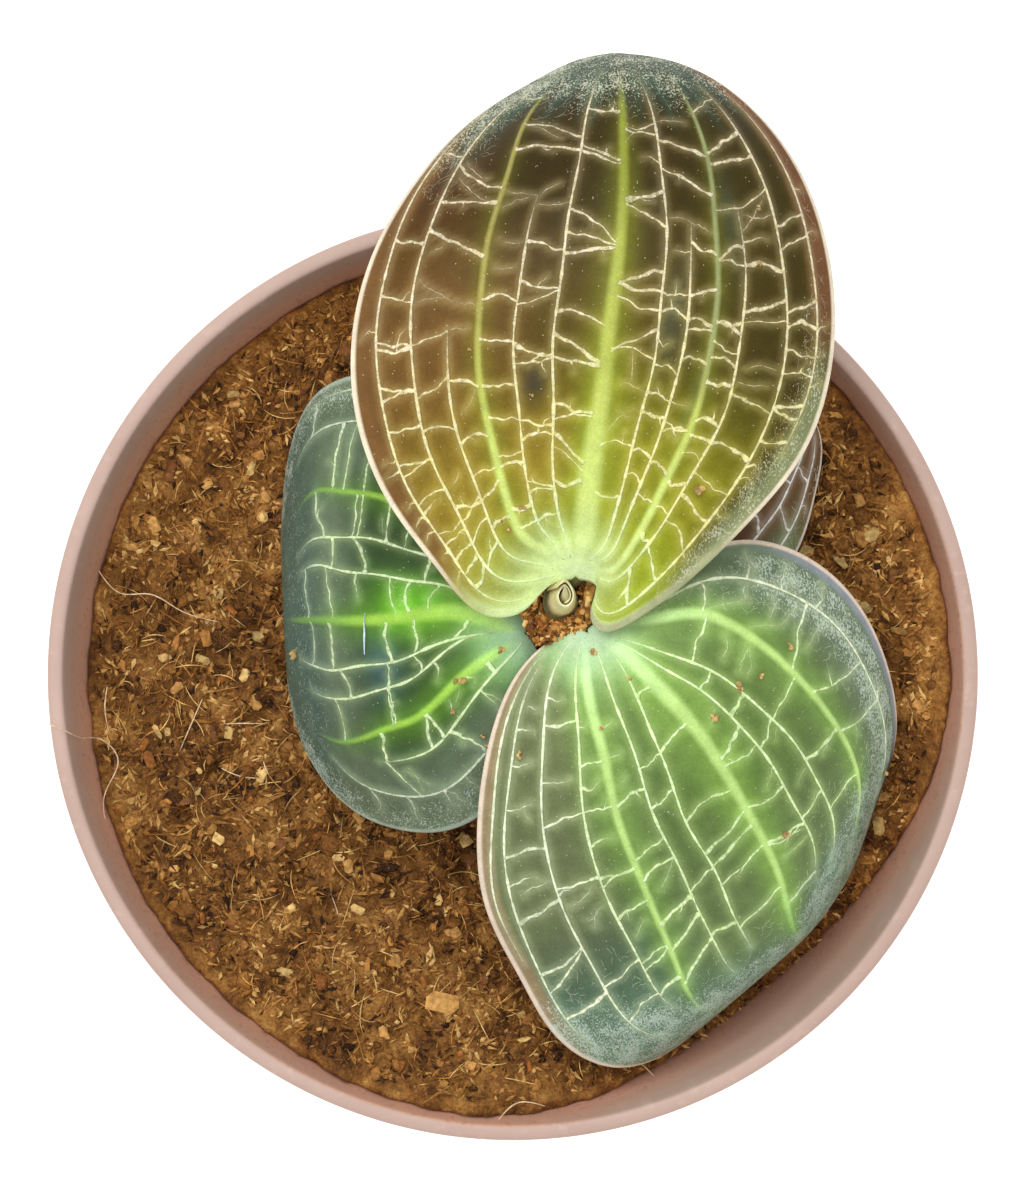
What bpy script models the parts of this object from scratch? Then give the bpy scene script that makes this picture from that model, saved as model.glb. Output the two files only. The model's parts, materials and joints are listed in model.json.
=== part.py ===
"""A potted jewel orchid: four net-veined leaves round a rolled new leaf, in a round plastic pot.

Lengths here are in millimetres and become metres as each mesh is made. The origin is the middle of the
pot's base, +Z is up, and the tallest leaf reaches towards +Y. A leaf is described by three rails, its
midrib and its two edges, which run from the top of its stalk to its tip.
"""

import math
import random

import bmesh
import bpy
import numpy as np

MM = 0.001
GAP = 0.3

POT_HEIGHT = 98.0
POT_TOP_RADIUS = 55.0
POT_BASE_RADIUS = 40.0
POT_WALL = 1.9
POT_FLOOR = 2.5
POT_SIDES = 64
FOOT_CHAMFER = 1.2
DRAIN_HOLES = 6
DRAIN_RING = 25.0
DRAIN_RADIUS = 3.0
GROOVE_WIDTH = 3.0
GROOVE_DEPTH = 0.9

SOIL_CENTRE = 84.5
SOIL_EDGE = {-180: 88.5, -135: 92.0, -95: 96.0, -50: 79.5, 0: 94.0, 45: 92.0, 90: 89.0, 135: 88.0, 180: 88.5}
SOIL_SECTORS = 60
SOIL_RINGS = 13
SOIL_LUMP = 0.75
CHIPS = 26
CHIP_LENGTH = (3.5, 6.5)
CHIP_CLEAR = 9.0

AXIS = (5.45, 8.9)
STEM_RADIUS = 2.0
STEM_FOOT = 72.0
STEM_TOP = 109.6
SHEATH_INNER = STEM_RADIUS + GAP
SHEATH_OUTER = SHEATH_INNER + 0.8
SHEATH_LENGTH = 5.0
SHEATH_STEP = 5.4
SHEATH_START = 87.2
ROOTS = 4
ROOT_REACH = 15.0
ROOT_DEPTH = 34.0
ROOT_RADIUS = 1.2

BLADE = 0.8
VEIN_RISE = 0.42
CELL_DIP = 0.2
STALK_RADIUS = 1.15
KEEL_END = 0.32

ROLL_RADIUS = 1.9
ROLL_WALL = 0.62
ROLL_CLEAR = 0.28
ROLL_TURNS = 1.55
ROLL_HEIGHT = 9.4

COLOURS = {
    "pot": (0.56, 0.40, 0.35),
    "substrate": (0.16, 0.075, 0.025),
    "stem": (0.30, 0.33, 0.12),
    "bronze": (0.16, 0.12, 0.035),
    "green": (0.07, 0.17, 0.07),
    "deep_green": (0.03, 0.06, 0.045),
    "khaki": (0.38, 0.36, 0.24),
    "bark": (0.42, 0.19, 0.045),
}

LEAF_TOP = {
    "midrib": [
        (7.2, 11.9, 116.8), (8, 16.5, 120), (8.5, 23, 124), (9.5, 30, 127.5), (10.5, 39, 130),
        (11.5, 47, 130.5), (12, 55, 128.5), (12, 62, 125), (11.5, 67, 120.5), (11.5, 69.5, 115),
    ],
    "left": [
        (7.2, 11.9, 116.8), (5, 11.6, 116.5), (2.8, 10, 116), (1, 8, 115.5), (-2.5, 7.5, 116), (-8, 12, 118),
        (-13.5, 19.5, 121), (-17, 28.5, 123.5), (-17.5, 37.5, 124.5), (-15, 47.5, 124), (-10.5, 55.5, 121.5),
        (-4.5, 62.5, 118), (3, 67.5, 115.5), (8, 69.5, 114.5), (11.5, 69.5, 115),
    ],
    "right": [
        (7.2, 11.9, 116.8), (9.2, 11, 116.5), (10, 8.5, 116), (11, 6, 116), (15.5, 7.5, 117), (21, 12, 118.5),
        (27, 18.5, 120), (32, 25, 121), (35, 34, 122), (35, 45.5, 122.5), (32, 55.5, 122), (27, 63, 120),
        (21, 67.5, 118), (16, 69.5, 116), (11.5, 69.5, 115),
    ],
    "veins": (-0.92, -0.78, -0.63, -0.5, -0.36, -0.21, 0.0, 0.2, 0.3, 0.43, 0.55, 0.76, 0.91),
    "rungs": 10,
    "level": 3,
}
LEAF_FRONT = {
    "midrib": [
        (9, 3.5, 113), (12, 3, 114.5), (15.5, 0, 115.5), (20.5, -5.5, 115.5), (24.5, -11.5, 114),
        (28, -17.5, 111), (30.5, -22.5, 107.5), (32.5, -28.5, 102), (34, -32, 95), (33.5, -33.5, 88),
    ],
    "left": [
        (9, 3.5, 113), (7, 4.5, 112.5), (4, 4, 112), (0.5, 0, 110.5), (-2.5, -7, 109), (-4, -17.5, 107),
        (-3, -27, 104.5), (1, -35.5, 101.5), (5.5, -43, 98), (13, -47, 94), (19, -45.5, 91), (26.5, -40.5, 88),
        (33.5, -33.5, 88),
    ],
    "right": [
        (9, 3.5, 113), (11, 5.5, 113), (14.5, 9, 112.5), (19.5, 13, 111.5), (25, 15.5, 110), (33.5, 14, 107),
        (40.5, 8, 103.5), (44.5, -0.5, 100), (45.5, -7.5, 96.5), (43.5, -16, 93), (40.5, -25, 89.5),
        (36.5, -30.5, 88), (33.5, -33.5, 88),
    ],
    "veins": (-0.89, -0.74, -0.56, -0.43, -0.29, -0.15, 0.0, 0.2, 0.37, 0.55, 0.69, 0.81, 0.92),
    "rungs": 10,
    "level": 2,
}
LEAF_LEFT = {
    "midrib": [
        (1.5, 5, 109), (-2.5, 6.5, 110.5), (-6.5, 7.5, 110.5), (-12, 7, 109.5), (-17.5, 6.5, 107),
        (-22, 6.5, 103), (-25.5, 6.5, 97.5), (-27.5, 6.5, 92.5), (-27.5, 6.5, 88.5),
    ],
    "left": [
        (1.5, 5, 109), (3, 2.5, 108), (3, -2.5, 106.5), (0.5, -10.5, 103.5), (-4, -16.5, 100), (-8.5, -18.5, 97.5),
        (-13.5, -18.5, 95), (-19, -16.5, 92.5), (-23.5, -12, 91), (-26.5, -5.5, 89.5), (-27.5, 1.5, 88.5),
        (-27.5, 6.5, 88.5),
    ],
    "right": [
        (1.5, 5, 109), (1.2, 8.5, 108.6), (1.5, 15, 107.5), (-1, 24.5, 105), (-6.5, 31.5, 102), (-12.5, 35, 99.5),
        (-18.5, 35.5, 97), (-23.5, 33.5, 94), (-26.5, 28.5, 91), (-28, 20, 89), (-28, 12.5, 88.5),
        (-27.5, 6.5, 88.5),
    ],
    "veins": (-0.86, -0.67, -0.45, -0.31, -0.18, 0.0, 0.18, 0.33, 0.51, 0.74, 0.9),
    "rungs": 9,
    "level": 1,
}
LEAF_BACK = {
    "midrib": [(12.5, 10, 105), (17, 14, 106.5), (22, 18.5, 106), (27, 24, 104), (31.5, 28.5, 100.5), (34.5, 32.5, 96)],
    "left": [
        (12.5, 10, 105), (10.5, 13, 105), (11.5, 19.5, 104.5), (16, 27, 103), (22.5, 32.5, 101), (29, 34.5, 98.5),
        (34.5, 32.5, 96),
    ],
    "right": [
        (12.5, 10, 105), (15, 6.5, 104.5), (21.5, 4.5, 103), (28.5, 8.5, 100.5), (33.5, 14.5, 98.5), (36, 22, 97),
        (36.5, 28.5, 96), (34.5, 32.5, 96),
    ],
    "veins": (-0.75, -0.48, -0.24, 0.0, 0.26, 0.5, 0.77),
    "rungs": 6,
    "level": 0,
}


def clear_scene():
    for old in list(bpy.data.objects):
        bpy.data.objects.remove(old, do_unlink=True)


def material(name, colour, roughness):
    made = bpy.data.materials.new(name)
    made.use_nodes = True
    shader = made.node_tree.nodes["Principled BSDF"]
    shader.inputs["Base Color"].default_value = (*colour, 1.0)
    shader.inputs["Roughness"].default_value = roughness
    shader.inputs["Metallic"].default_value = 0.0
    made.diffuse_color = (*colour, 1.0)
    return made


def mesh_object(name, points, faces, finish=None, sharp=40):
    """An object from points in millimetres, its faces turned outwards and its round parts shaded smooth."""
    mesh = bpy.data.meshes.new(name)
    mesh.from_pydata((np.array(points, float) * MM).tolist(), [], faces)
    shape = bmesh.new()
    shape.from_mesh(mesh)
    bmesh.ops.recalc_face_normals(shape, faces=shape.faces)
    shape.to_mesh(mesh)
    shape.free()
    mesh.shade_smooth()
    mesh.set_sharp_from_angle(angle=math.radians(sharp))
    made = bpy.data.objects.new(name, mesh)
    bpy.context.scene.collection.objects.link(made)
    if finish:
        mesh.materials.append(finish)
    return made


def join(target, others, operation):
    """Adds the other objects to the target, or cuts them from it, and then removes them."""
    group = bpy.data.collections.new(target.name + "_tools")
    bpy.context.scene.collection.children.link(group)
    for other in others:
        bpy.context.scene.collection.objects.unlink(other)
        group.objects.link(other)
    boolean = target.modifiers.new(operation.title(), "BOOLEAN")
    boolean.operation = operation
    boolean.operand_type = "COLLECTION"
    boolean.collection = group
    boolean.solver = "EXACT"
    bpy.context.view_layer.update()
    evaluated = target.evaluated_get(bpy.context.evaluated_depsgraph_get())
    mesh = bpy.data.meshes.new_from_object(evaluated)
    target.modifiers.clear()
    old = target.data
    finish = old.materials[0]
    target.data = mesh
    bpy.data.meshes.remove(old)
    mesh.name = target.name
    mesh.materials.clear()
    mesh.materials.append(finish)
    for other in others:
        bpy.data.objects.remove(other, do_unlink=True)
    bpy.data.collections.remove(group)


def curve_through(points, places):
    """A natural cubic spline through the points, read at places from 0, its start, to 1, its end."""
    p = np.array(points, float)
    knots = np.concatenate([[0.0], np.cumsum(np.linalg.norm(np.diff(p, axis=0), axis=1))])
    knots /= knots[-1]
    steps = np.diff(knots)
    count = len(knots)
    left = np.zeros((count, count))
    right = np.zeros((count, 3))
    left[0, 0] = left[-1, -1] = 1.0
    for i in range(1, count - 1):
        left[i, i - 1 : i + 2] = steps[i - 1], 2 * (steps[i - 1] + steps[i]), steps[i]
        right[i] = 6 * ((p[i + 1] - p[i]) / steps[i] - (p[i] - p[i - 1]) / steps[i - 1])
    bend = np.linalg.solve(left, right)
    places = np.clip(np.asarray(places, float), 0.0, 1.0)
    i = np.clip(np.searchsorted(knots, places, side="right") - 1, 0, count - 2)
    step = steps[i][..., None]
    after = (places - knots[i])[..., None] / step
    before = 1.0 - after
    curved = (before**3 - before) * bend[i] + (after**3 - after) * bend[i + 1]
    return before * p[i] + after * p[i + 1] + curved * step**2 / 6


def blade_surface(leaf, along, across):
    """Points of the blade: along runs from stalk to tip, across from -1 to 1 between its edges.

    Each cross-section is an arch that leaves the midrib level and bends down to the edge.
    """
    midrib = curve_through(leaf["midrib"], along)
    left = curve_through(leaf["left"], along)
    right = curve_through(leaf["right"], along)
    level = right - left
    level /= np.maximum(np.linalg.norm(level, axis=-1, keepdims=True), 1e-6)
    turn = np.asarray(across)[..., None]
    edge = np.where(turn < 0, left, right)
    reach = np.linalg.norm(edge - midrib, axis=-1, keepdims=True)
    handle = midrib + np.sign(turn) * level * reach / 2
    out = np.abs(turn)
    return (1 - out) ** 2 * midrib + 2 * out * (1 - out) * handle + out**2 * edge


def grid_normals(grid):
    along = np.gradient(grid, axis=0)
    across = np.gradient(grid, axis=1)
    normal = np.cross(across, along)
    size = np.linalg.norm(normal, axis=-1, keepdims=True)
    normal = np.where(size > 1e-9, normal / np.maximum(size, 1e-9), (0.0, 0.0, 1.0))
    return np.where(normal[..., 2:] < 0, -normal, normal)


def blade(name, leaf, finish, draw):
    """A closed blade with its veins and the rungs between them raised, and a dip in each cell of the net."""
    veins = leaf["veins"]
    stops = [-1.0, *veins, 1.0]
    turns = []
    for first, second in zip(stops, stops[1:]):
        turns += [first, (first + second) / 2]
    turns = np.array(turns + [1.0])
    rows = 2 * leaf["rungs"] + 1
    along = np.tile(np.linspace(0, 1, rows)[:, None], (1, len(turns)))
    for i in range(1, rows - 1):
        for j in range(1, len(turns) - 1):
            along[i, j] += draw.uniform(-0.16, 0.16) / rows
    across = np.tile(turns[None, :], (rows, 1))
    middle = blade_surface(leaf, along, across)
    normal = grid_normals(middle)
    # A point by either end of the blade takes the upright direction, so the thin fan there can't fold over.
    normal[0] = normal[-1] = (0.0, 0.0, 1.0)
    lift = np.zeros((rows, len(turns)))
    for i in range(1, rows - 1):
        for j in range(1, len(turns) - 1):
            on_vein = j % 2 == 0
            on_rung = i % 2 == 0 and draw.random() < 0.75
            lift[i, j] = VEIN_RISE if on_vein else VEIN_RISE * 0.6 if on_rung else -CELL_DIP
    fade = np.minimum(1.0, 6 * along * (1 - along))[..., None]
    upper = middle + normal * lift[..., None] * fade
    lower = middle - normal * BLADE
    return mesh_object(name, *closed_sheet(upper, lower), finish)


def closed_sheet(upper, lower):
    """Points and triangles of a sheet whose first and last rows are single points, alike on both faces."""
    rows, columns = upper.shape[:2]
    points = [upper[0, 0], upper[-1, 0], *upper[1:-1].reshape(-1, 3)]
    under = len(points)
    points += [lower[0, 0], lower[-1, 0], *lower[1:-1].reshape(-1, 3)]

    def index(i, j):
        if i in (0, rows - 1):
            return min(i, 1)
        return 2 + (i - 1) * columns + j

    triangles = []
    for i in range(rows - 1):
        for j in range(columns - 1):
            a, b, c, d = index(i, j), index(i, j + 1), index(i + 1, j + 1), index(i + 1, j)
            halves = ((a, b, c), (a, c, d)) if (i + j) % 2 == 0 else ((a, b, d), (b, c, d))
            triangles += [half for half in halves if len(set(half)) == 3]
    faces = triangles + [tuple(under + k for k in reversed(face)) for face in triangles]
    rim = [index(i, 0) for i in range(rows)] + [index(i, columns - 1) for i in range(rows - 2, 0, -1)]
    for first, second in zip(rim, rim[1:] + rim[:1]):
        faces += [(first, second, under + second), (first, under + second, under + first)]
    return points, faces


def tube(name, path, radii, sides, finish=None):
    """A closed tube of changing radius along a path."""
    path = np.array(path, float)
    points = []
    ahead = np.gradient(path, axis=0)
    side = np.cross(ahead[0], (0.31, 0.95, 0.1))
    for centre, direction, radius in zip(path, ahead, radii):
        direction = direction / np.linalg.norm(direction)
        side = side - direction * np.dot(side, direction)
        side /= np.linalg.norm(side)
        other = np.cross(direction, side)
        for k in range(sides):
            angle = 2 * math.pi * k / sides
            points.append(centre + radius * (math.cos(angle) * side + math.sin(angle) * other))
    faces = [tuple(range(sides)), tuple(range(len(points) - sides, len(points)))]
    for i in range(len(path) - 1):
        for k in range(sides):
            a, b = i * sides + k, i * sides + (k + 1) % sides
            faces.append((a, b, b + sides, a + sides))
    return mesh_object(name, points, faces, finish)


def turned(name, profile, sides, finish=None, centre=(0.0, 0.0), sharp=35):
    """A closed ring of revolution whose profile is a loop of (radius, height)."""
    points = []
    for k in range(sides):
        angle = 2 * math.pi * k / sides
        for radius, height in profile:
            points.append((centre[0] + radius * math.cos(angle), centre[1] + radius * math.sin(angle), height))
    count = len(profile)
    faces = []
    for k in range(sides):
        for i in range(count):
            j = (i + 1) % count
            after = (k + 1) % sides
            faces.append((k * count + i, k * count + j, after * count + j, after * count + i))
    return mesh_object(name, points, faces, finish, sharp)


def turned_solid(name, profile, sides, finish=None, centre=(0.0, 0.0), sharp=35):
    """A solid of revolution: the profile's first and last points lie on the axis, and the rest off it."""
    points = [(*centre, profile[0][1]), (*centre, profile[-1][1])]
    ring = profile[1:-1]
    for k in range(sides):
        angle = 2 * math.pi * k / sides
        for radius, height in ring:
            points.append((centre[0] + radius * math.cos(angle), centre[1] + radius * math.sin(angle), height))
    count = len(ring)
    faces = []
    for k in range(sides):
        here = 2 + k * count
        after = 2 + (k + 1) % sides * count
        faces.append((0, here, after))
        faces.append((1, after + count - 1, here + count - 1))
        for i in range(count - 1):
            faces.append((here + i, here + i + 1, after + i + 1, after + i))
    return mesh_object(name, points, faces, finish, sharp)


def pot_inner_radius(height):
    """The radius of the pot's inner wall at a height above its floor."""
    top = POT_TOP_RADIUS - POT_WALL
    base = POT_BASE_RADIUS - POT_WALL
    return base + (top - base) * height / POT_HEIGHT


def build_pot(finish):
    round_rim = POT_WALL / 2
    middle = POT_TOP_RADIUS - round_rim
    profile = [(0.0, 0.0), (POT_BASE_RADIUS - FOOT_CHAMFER, 0.0), (POT_BASE_RADIUS, FOOT_CHAMFER)]
    for step in range(5):
        angle = math.pi * step / 4
        height = POT_HEIGHT - round_rim + round_rim * math.sin(angle)
        profile.append((middle + round_rim * math.cos(angle), height))
    inner_base = pot_inner_radius(POT_FLOOR)
    profile += [(inner_base, POT_FLOOR + FOOT_CHAMFER), (inner_base - FOOT_CHAMFER, POT_FLOOR), (0.0, POT_FLOOR)]
    pot = turned_solid("pot", profile, POT_SIDES, finish)
    cutters = []
    for k in range(DRAIN_HOLES):
        angle = 2 * math.pi * (k + 0.5) / DRAIN_HOLES
        centre = (DRAIN_RING * math.cos(angle), DRAIN_RING * math.sin(angle))
        hole = [(0.0, -1.0), (DRAIN_RADIUS, -1.0), (DRAIN_RADIUS, POT_FLOOR + 1.0), (0.0, POT_FLOOR + 1.0)]
        cutters.append(turned_solid("drain_hole", hole, 12, finish, centre))
    join(pot, cutters, "DIFFERENCE")
    grooves = []
    for k in range(DRAIN_HOLES):
        angle = 2 * math.pi * (k + 0.5) / DRAIN_HOLES
        out = np.array((math.cos(angle), math.sin(angle), 0.0))
        side = np.array((-out[1], out[0], 0.0)) * GROOVE_WIDTH / 2
        points = []
        for reach in (DRAIN_RING, POT_BASE_RADIUS + 3.0):
            for height in (-1.0, GROOVE_DEPTH):
                points += [out * reach + side + (0, 0, height), out * reach - side + (0, 0, height)]
        faces = [(0, 1, 3, 2), (4, 6, 7, 5), (0, 4, 5, 1), (2, 3, 7, 6), (0, 2, 6, 4), (1, 5, 7, 3)]
        grooves.append(mesh_object("drain_groove", points, faces, finish))
    join(pot, grooves, "DIFFERENCE")
    return pot


def soil_edge(angle):
    """The level of the soil where it meets the pot, at an angle in degrees."""
    stops = sorted(SOIL_EDGE)
    for first, second in zip(stops, stops[1:]):
        if first <= angle <= second:
            part = (angle - first) / (second - first)
            part = part * part * (3 - 2 * part)
            return SOIL_EDGE[first] * (1 - part) + SOIL_EDGE[second] * part
    return SOIL_EDGE[stops[0]]


def soil_height(x, y):
    angle = math.degrees(math.atan2(y, x))
    out = min(1.0, math.hypot(x, y) / pot_inner_radius(SOIL_CENTRE))
    level = SOIL_CENTRE + (soil_edge(angle) - SOIL_CENTRE) * out**2.5
    lumps = math.sin(0.61 * x + 1.3) * math.cos(0.53 * y) + 0.7 * math.sin(0.97 * x - 0.71 * y)
    lumps += 0.6 * math.cos(1.31 * x + 1.13 * y + 0.6)
    return level + SOIL_LUMP * lumps * (1 - 0.6 * out**8)


def build_soil(finish, draw):
    """The fill of the pot, its top lumpy and sunk at the front right, with chips of bark on it."""
    points = []
    angles = [2 * math.pi * k / SOIL_SECTORS - math.pi for k in range(SOIL_SECTORS)]
    for ring in range(1, SOIL_RINGS + 1):
        for angle in angles:
            wall = pot_inner_radius(soil_edge(math.degrees(angle))) - GAP
            reach = wall * (ring / SOIL_RINGS) ** 0.85
            if ring < SOIL_RINGS:
                angle += draw.uniform(-0.3, 0.3) / SOIL_SECTORS * 2 * math.pi
            x, y = reach * math.cos(angle), reach * math.sin(angle)
            height = soil_height(x, y)
            if ring == SOIL_RINGS:
                edge = pot_inner_radius(height) - GAP
                x, y = edge * math.cos(angle), edge * math.sin(angle)
            points.append((x, y, height))
    bottom = POT_FLOOR + GAP
    chamfer = FOOT_CHAMFER
    for radius, height in (
        (pot_inner_radius(bottom + chamfer) - GAP, bottom + chamfer),
        (pot_inner_radius(bottom) - GAP - chamfer, bottom),
    ):
        points += [(radius * math.cos(angle), radius * math.sin(angle), height) for angle in angles]
    faces = []
    for ring in range(SOIL_RINGS + 1):
        for k in range(SOIL_SECTORS):
            a = ring * SOIL_SECTORS + k
            b = ring * SOIL_SECTORS + (k + 1) % SOIL_SECTORS
            c, d = b + SOIL_SECTORS, a + SOIL_SECTORS
            faces += [(a, b, c), (a, c, d)]
    top, base = len(points), len(points) + 1
    points += [(0.0, 0.0, soil_height(0.0, 0.0)), (0.0, 0.0, bottom)]
    last = (SOIL_RINGS + 1) * SOIL_SECTORS
    for k in range(SOIL_SECTORS):
        after = (k + 1) % SOIL_SECTORS
        faces += [(top, after, k), (base, last + k, last + after)]
    soil = mesh_object("substrate", points, faces, finish, 60)
    join(soil, [chip(draw, finish) for _ in range(CHIPS)], "UNION")
    join(soil, root_holes(finish), "DIFFERENCE")
    return soil


def chip(draw, finish):
    """One angular chip of bark, half sunk in the soil."""
    shape = bmesh.new()
    bmesh.ops.create_icosphere(shape, subdivisions=1, radius=0.5)
    length = draw.uniform(*CHIP_LENGTH)
    size = np.array((length, length * draw.uniform(0.5, 0.8), length * draw.uniform(0.35, 0.5)))
    x, y = AXIS
    while math.dist((x, y), AXIS) < CHIP_CLEAR:
        reach = (POT_TOP_RADIUS - POT_WALL - CHIP_LENGTH[1]) * math.sqrt(draw.random())
        angle = draw.uniform(0, 2 * math.pi)
        x, y = reach * math.cos(angle), reach * math.sin(angle)
    place = np.array((x, y, soil_height(x, y) - size[2] / 6))
    heading, tilt = draw.uniform(0, math.pi), draw.uniform(-0.3, 0.3)
    points = []
    for corner in shape.verts:
        px, py, pz = np.array(corner.co) * size * [draw.uniform(0.8, 1.1) for _ in range(3)]
        pz += tilt * px
        turned_x = px * math.cos(heading) - py * math.sin(heading)
        turned_y = px * math.sin(heading) + py * math.cos(heading)
        points.append(place + (turned_x, turned_y, pz))
    faces = [tuple(corner.index for corner in face.verts) for face in shape.faces]
    shape.free()
    return mesh_object("chip", points, faces, finish)


def root_path(k):
    """Root k leaves the foot of the stem and bends down and out."""
    angle = 2 * math.pi * (k + 0.3) / ROOTS
    path = []
    for step in range(6):
        part = step / 5
        reach = 0.6 + ROOT_REACH * part**0.8
        x, y = AXIS[0] + reach * math.cos(angle), AXIS[1] + reach * math.sin(angle)
        path.append((x, y, STEM_FOOT + 4.0 - ROOT_DEPTH * part**1.3))
    return path


def root_radii(extra=0.0):
    return [ROOT_RADIUS * (1 - 0.09 * step) + extra for step in range(6)]


def root_holes(finish):
    """Plain holes in the soil for the stem and its roots, each a little wider than what stands in it."""
    hole = STEM_RADIUS + 1.3 * GAP
    deep = STEM_FOOT - 2 * GAP
    profile = [(0.0, deep), (hole, deep), (hole, SOIL_CENTRE + 8.0), (0.0, SOIL_CENTRE + 8.0)]
    holes = [turned_solid("stem_hole", profile, 14, finish, AXIS)]
    for k in range(ROOTS):
        path = np.array(root_path(k))
        path[-1] += (path[-1] - path[-2]) * 0.08
        holes.append(tube("root_hole", path, root_radii(1.3 * GAP), 7, finish))
    return holes


def build_stem(finish):
    """The upright stem, a little wider at each ring, with its fleshy roots."""
    profile = [(0.0, STEM_FOOT), (STEM_RADIUS * 0.8, STEM_FOOT)]
    heights = [STEM_FOOT + 1.0, SOIL_CENTRE + 0.6, SHEATH_START - 0.9, SHEATH_START - 0.4, STEM_TOP - 0.4]
    widths = [1.0, 1.0, 1.12, 1.0, 0.97]
    profile += [(STEM_RADIUS * width, height) for width, height in zip(widths, heights)]
    profile += [(STEM_RADIUS * 0.8, STEM_TOP), (0.0, STEM_TOP)]
    stem = turned_solid("stem", profile, 12, finish, AXIS)
    join(stem, [tube("root", root_path(k), root_radii(), 7, finish) for k in range(ROOTS)], "UNION")
    return stem


def stalk(leaf, finish):
    """The leaf's stalk, from its sheath up to the blade and on under the midrib as a keel."""
    pole = np.array(leaf["midrib"][0], float)
    out = pole[:2] - AXIS
    reach = np.linalg.norm(out)
    out /= reach
    foot = SHEATH_START + leaf["level"] * SHEATH_STEP + SHEATH_LENGTH * 0.45
    start = SHEATH_OUTER + STALK_RADIUS * 0.35
    clear = max(SHEATH_OUTER + GAP + STALK_RADIUS + 0.2, start)
    bowed = max(clear, start + (reach - start) * 0.7)
    rise = pole[2] - foot
    path = [(start, foot), (min(clear, reach), foot + 0.16 * rise + 0.8), (min(bowed, reach), foot + 0.62 * rise)]
    points = [(AXIS[0] + out[0] * r, AXIS[1] + out[1] * r, height) for r, height in path]
    under = curve_through(leaf["midrib"], np.array([0.02, 0.1, 0.19, KEEL_END]))
    under[:, 2] -= BLADE
    under[0, 2] -= 0.5
    points += under.tolist()
    smooth = curve_through(points, np.linspace(0, 1, 11))
    radii = [STALK_RADIUS * width for width in (1.0, 1.0, 0.95, 0.92, 0.9, 0.88, 0.8, 0.68, 0.56, 0.44, 0.3)]
    return tube("stalk", smooth, radii, 8, finish)


def sheath(leaf, finish):
    """The short tube at the foot of the stalk, which clasps the stem."""
    low = SHEATH_START + leaf["level"] * SHEATH_STEP
    high = low + SHEATH_LENGTH
    profile = [
        (SHEATH_INNER, low),
        (SHEATH_OUTER - 0.1, low),
        (SHEATH_OUTER, low + SHEATH_LENGTH * 0.5),
        (SHEATH_OUTER - 0.15, high),
        (SHEATH_INNER, high),
    ]
    return turned("sheath", profile, 14, finish, AXIS)


def build_leaf(name, leaf, finish, seed):
    made = blade(name, leaf, finish, random.Random(seed))
    join(made, [stalk(leaf, finish)], "UNION")
    join(made, [sheath(leaf, finish)], "UNION")
    return made


def build_new_leaf(finish):
    """The rolled new leaf: a band wound in a spiral, its upper edge slanting to a point."""
    pitch = ROLL_WALL + ROLL_CLEAR
    stops = 30
    levels = (0.0, 0.35, 0.75, 1.0)
    foot = STEM_TOP + GAP
    points = []
    for height in levels:
        for step in range(stops + 1):
            turn = ROLL_TURNS * step / stops
            angle = math.radians(200) - 2 * math.pi * turn
            outer = ROLL_RADIUS - pitch * turn
            outer *= 0.93 + 0.07 * math.sin(math.pi * min(1.0, height + 0.35))
            slant = 1.0 - 0.10 * math.cos(math.pi * turn) * height
            z = foot + ROLL_HEIGHT * height * slant
            for radius in (outer, outer - ROLL_WALL):
                points.append((AXIS[0] + radius * math.cos(angle), AXIS[1] + radius * math.sin(angle), z))
    row = 2 * (stops + 1)
    faces = []
    for level in range(len(levels) - 1):
        for step in range(stops):
            for side in (0, 1):
                a = level * row + 2 * step + side
                faces.append((a, a + 2, a + 2 + row, a + row))
        for step in (0, stops):
            a = level * row + 2 * step
            faces.append((a, a + 1, a + 1 + row, a + row))
    for level in (0, len(levels) - 1):
        for step in range(stops):
            a = level * row + 2 * step
            faces.append((a, a + 1, a + 3, a + 2))
    return mesh_object("new_leaf", points, faces, finish)


def crescent(name, start, end, inner, outer, low, high, finish, steps=9):
    """A low curved piece round the stem, thicker at its middle, for what is caught there."""
    points = []
    for step in range(steps + 1):
        part = step / steps
        angle = math.radians(start + (end - start) * part)
        full = math.sin(math.pi * (0.12 + 0.76 * part))
        far = inner + (outer - inner) * full
        top = low + (high - low) * (0.5 + 0.5 * full)
        for radius, height in ((inner, low), (far, low), (far - 0.3, top - 0.4), (inner, top)):
            points.append((AXIS[0] + radius * math.cos(angle), AXIS[1] + radius * math.sin(angle), height))
    faces = [(0, 1, 2, 3), tuple(range(4 * steps, 4 * steps + 4))]
    for step in range(steps):
        for side in range(4):
            a, b = 4 * step + side, 4 * step + (side + 1) % 4
            faces.append((a, b, b + 4, a + 4))
    return mesh_object(name, points, faces, finish)


def main():
    clear_scene()
    green = material("green_blade", COLOURS["green"], 0.45)
    bark = material("bark", COLOURS["bark"], 0.7)
    build_pot(material("pot_plastic", COLOURS["pot"], 0.42))
    build_soil(material("coir_and_bark", COLOURS["substrate"], 0.95), random.Random(7))
    build_stem(material("fleshy_stem", COLOURS["stem"], 0.5))
    build_leaf("leaf_top", LEAF_TOP, material("bronze_blade", COLOURS["bronze"], 0.42), 1)
    build_leaf("leaf_front", LEAF_FRONT, green, 2)
    build_leaf("leaf_left", LEAF_LEFT, green, 3)
    build_leaf("leaf_back", LEAF_BACK, material("deep_green_blade", COLOURS["deep_green"], 0.5), 4)
    build_new_leaf(material("rolled_blade", COLOURS["khaki"], 0.5))
    crescent("bark_flake", -58, 34, 2.3, 3.7, 109.4, 114.5, bark)
    crescent("axil_crumbs", 150, 292, 2.3, 4.6, 110.9, 113.0, bark, steps=12)


main()
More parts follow.
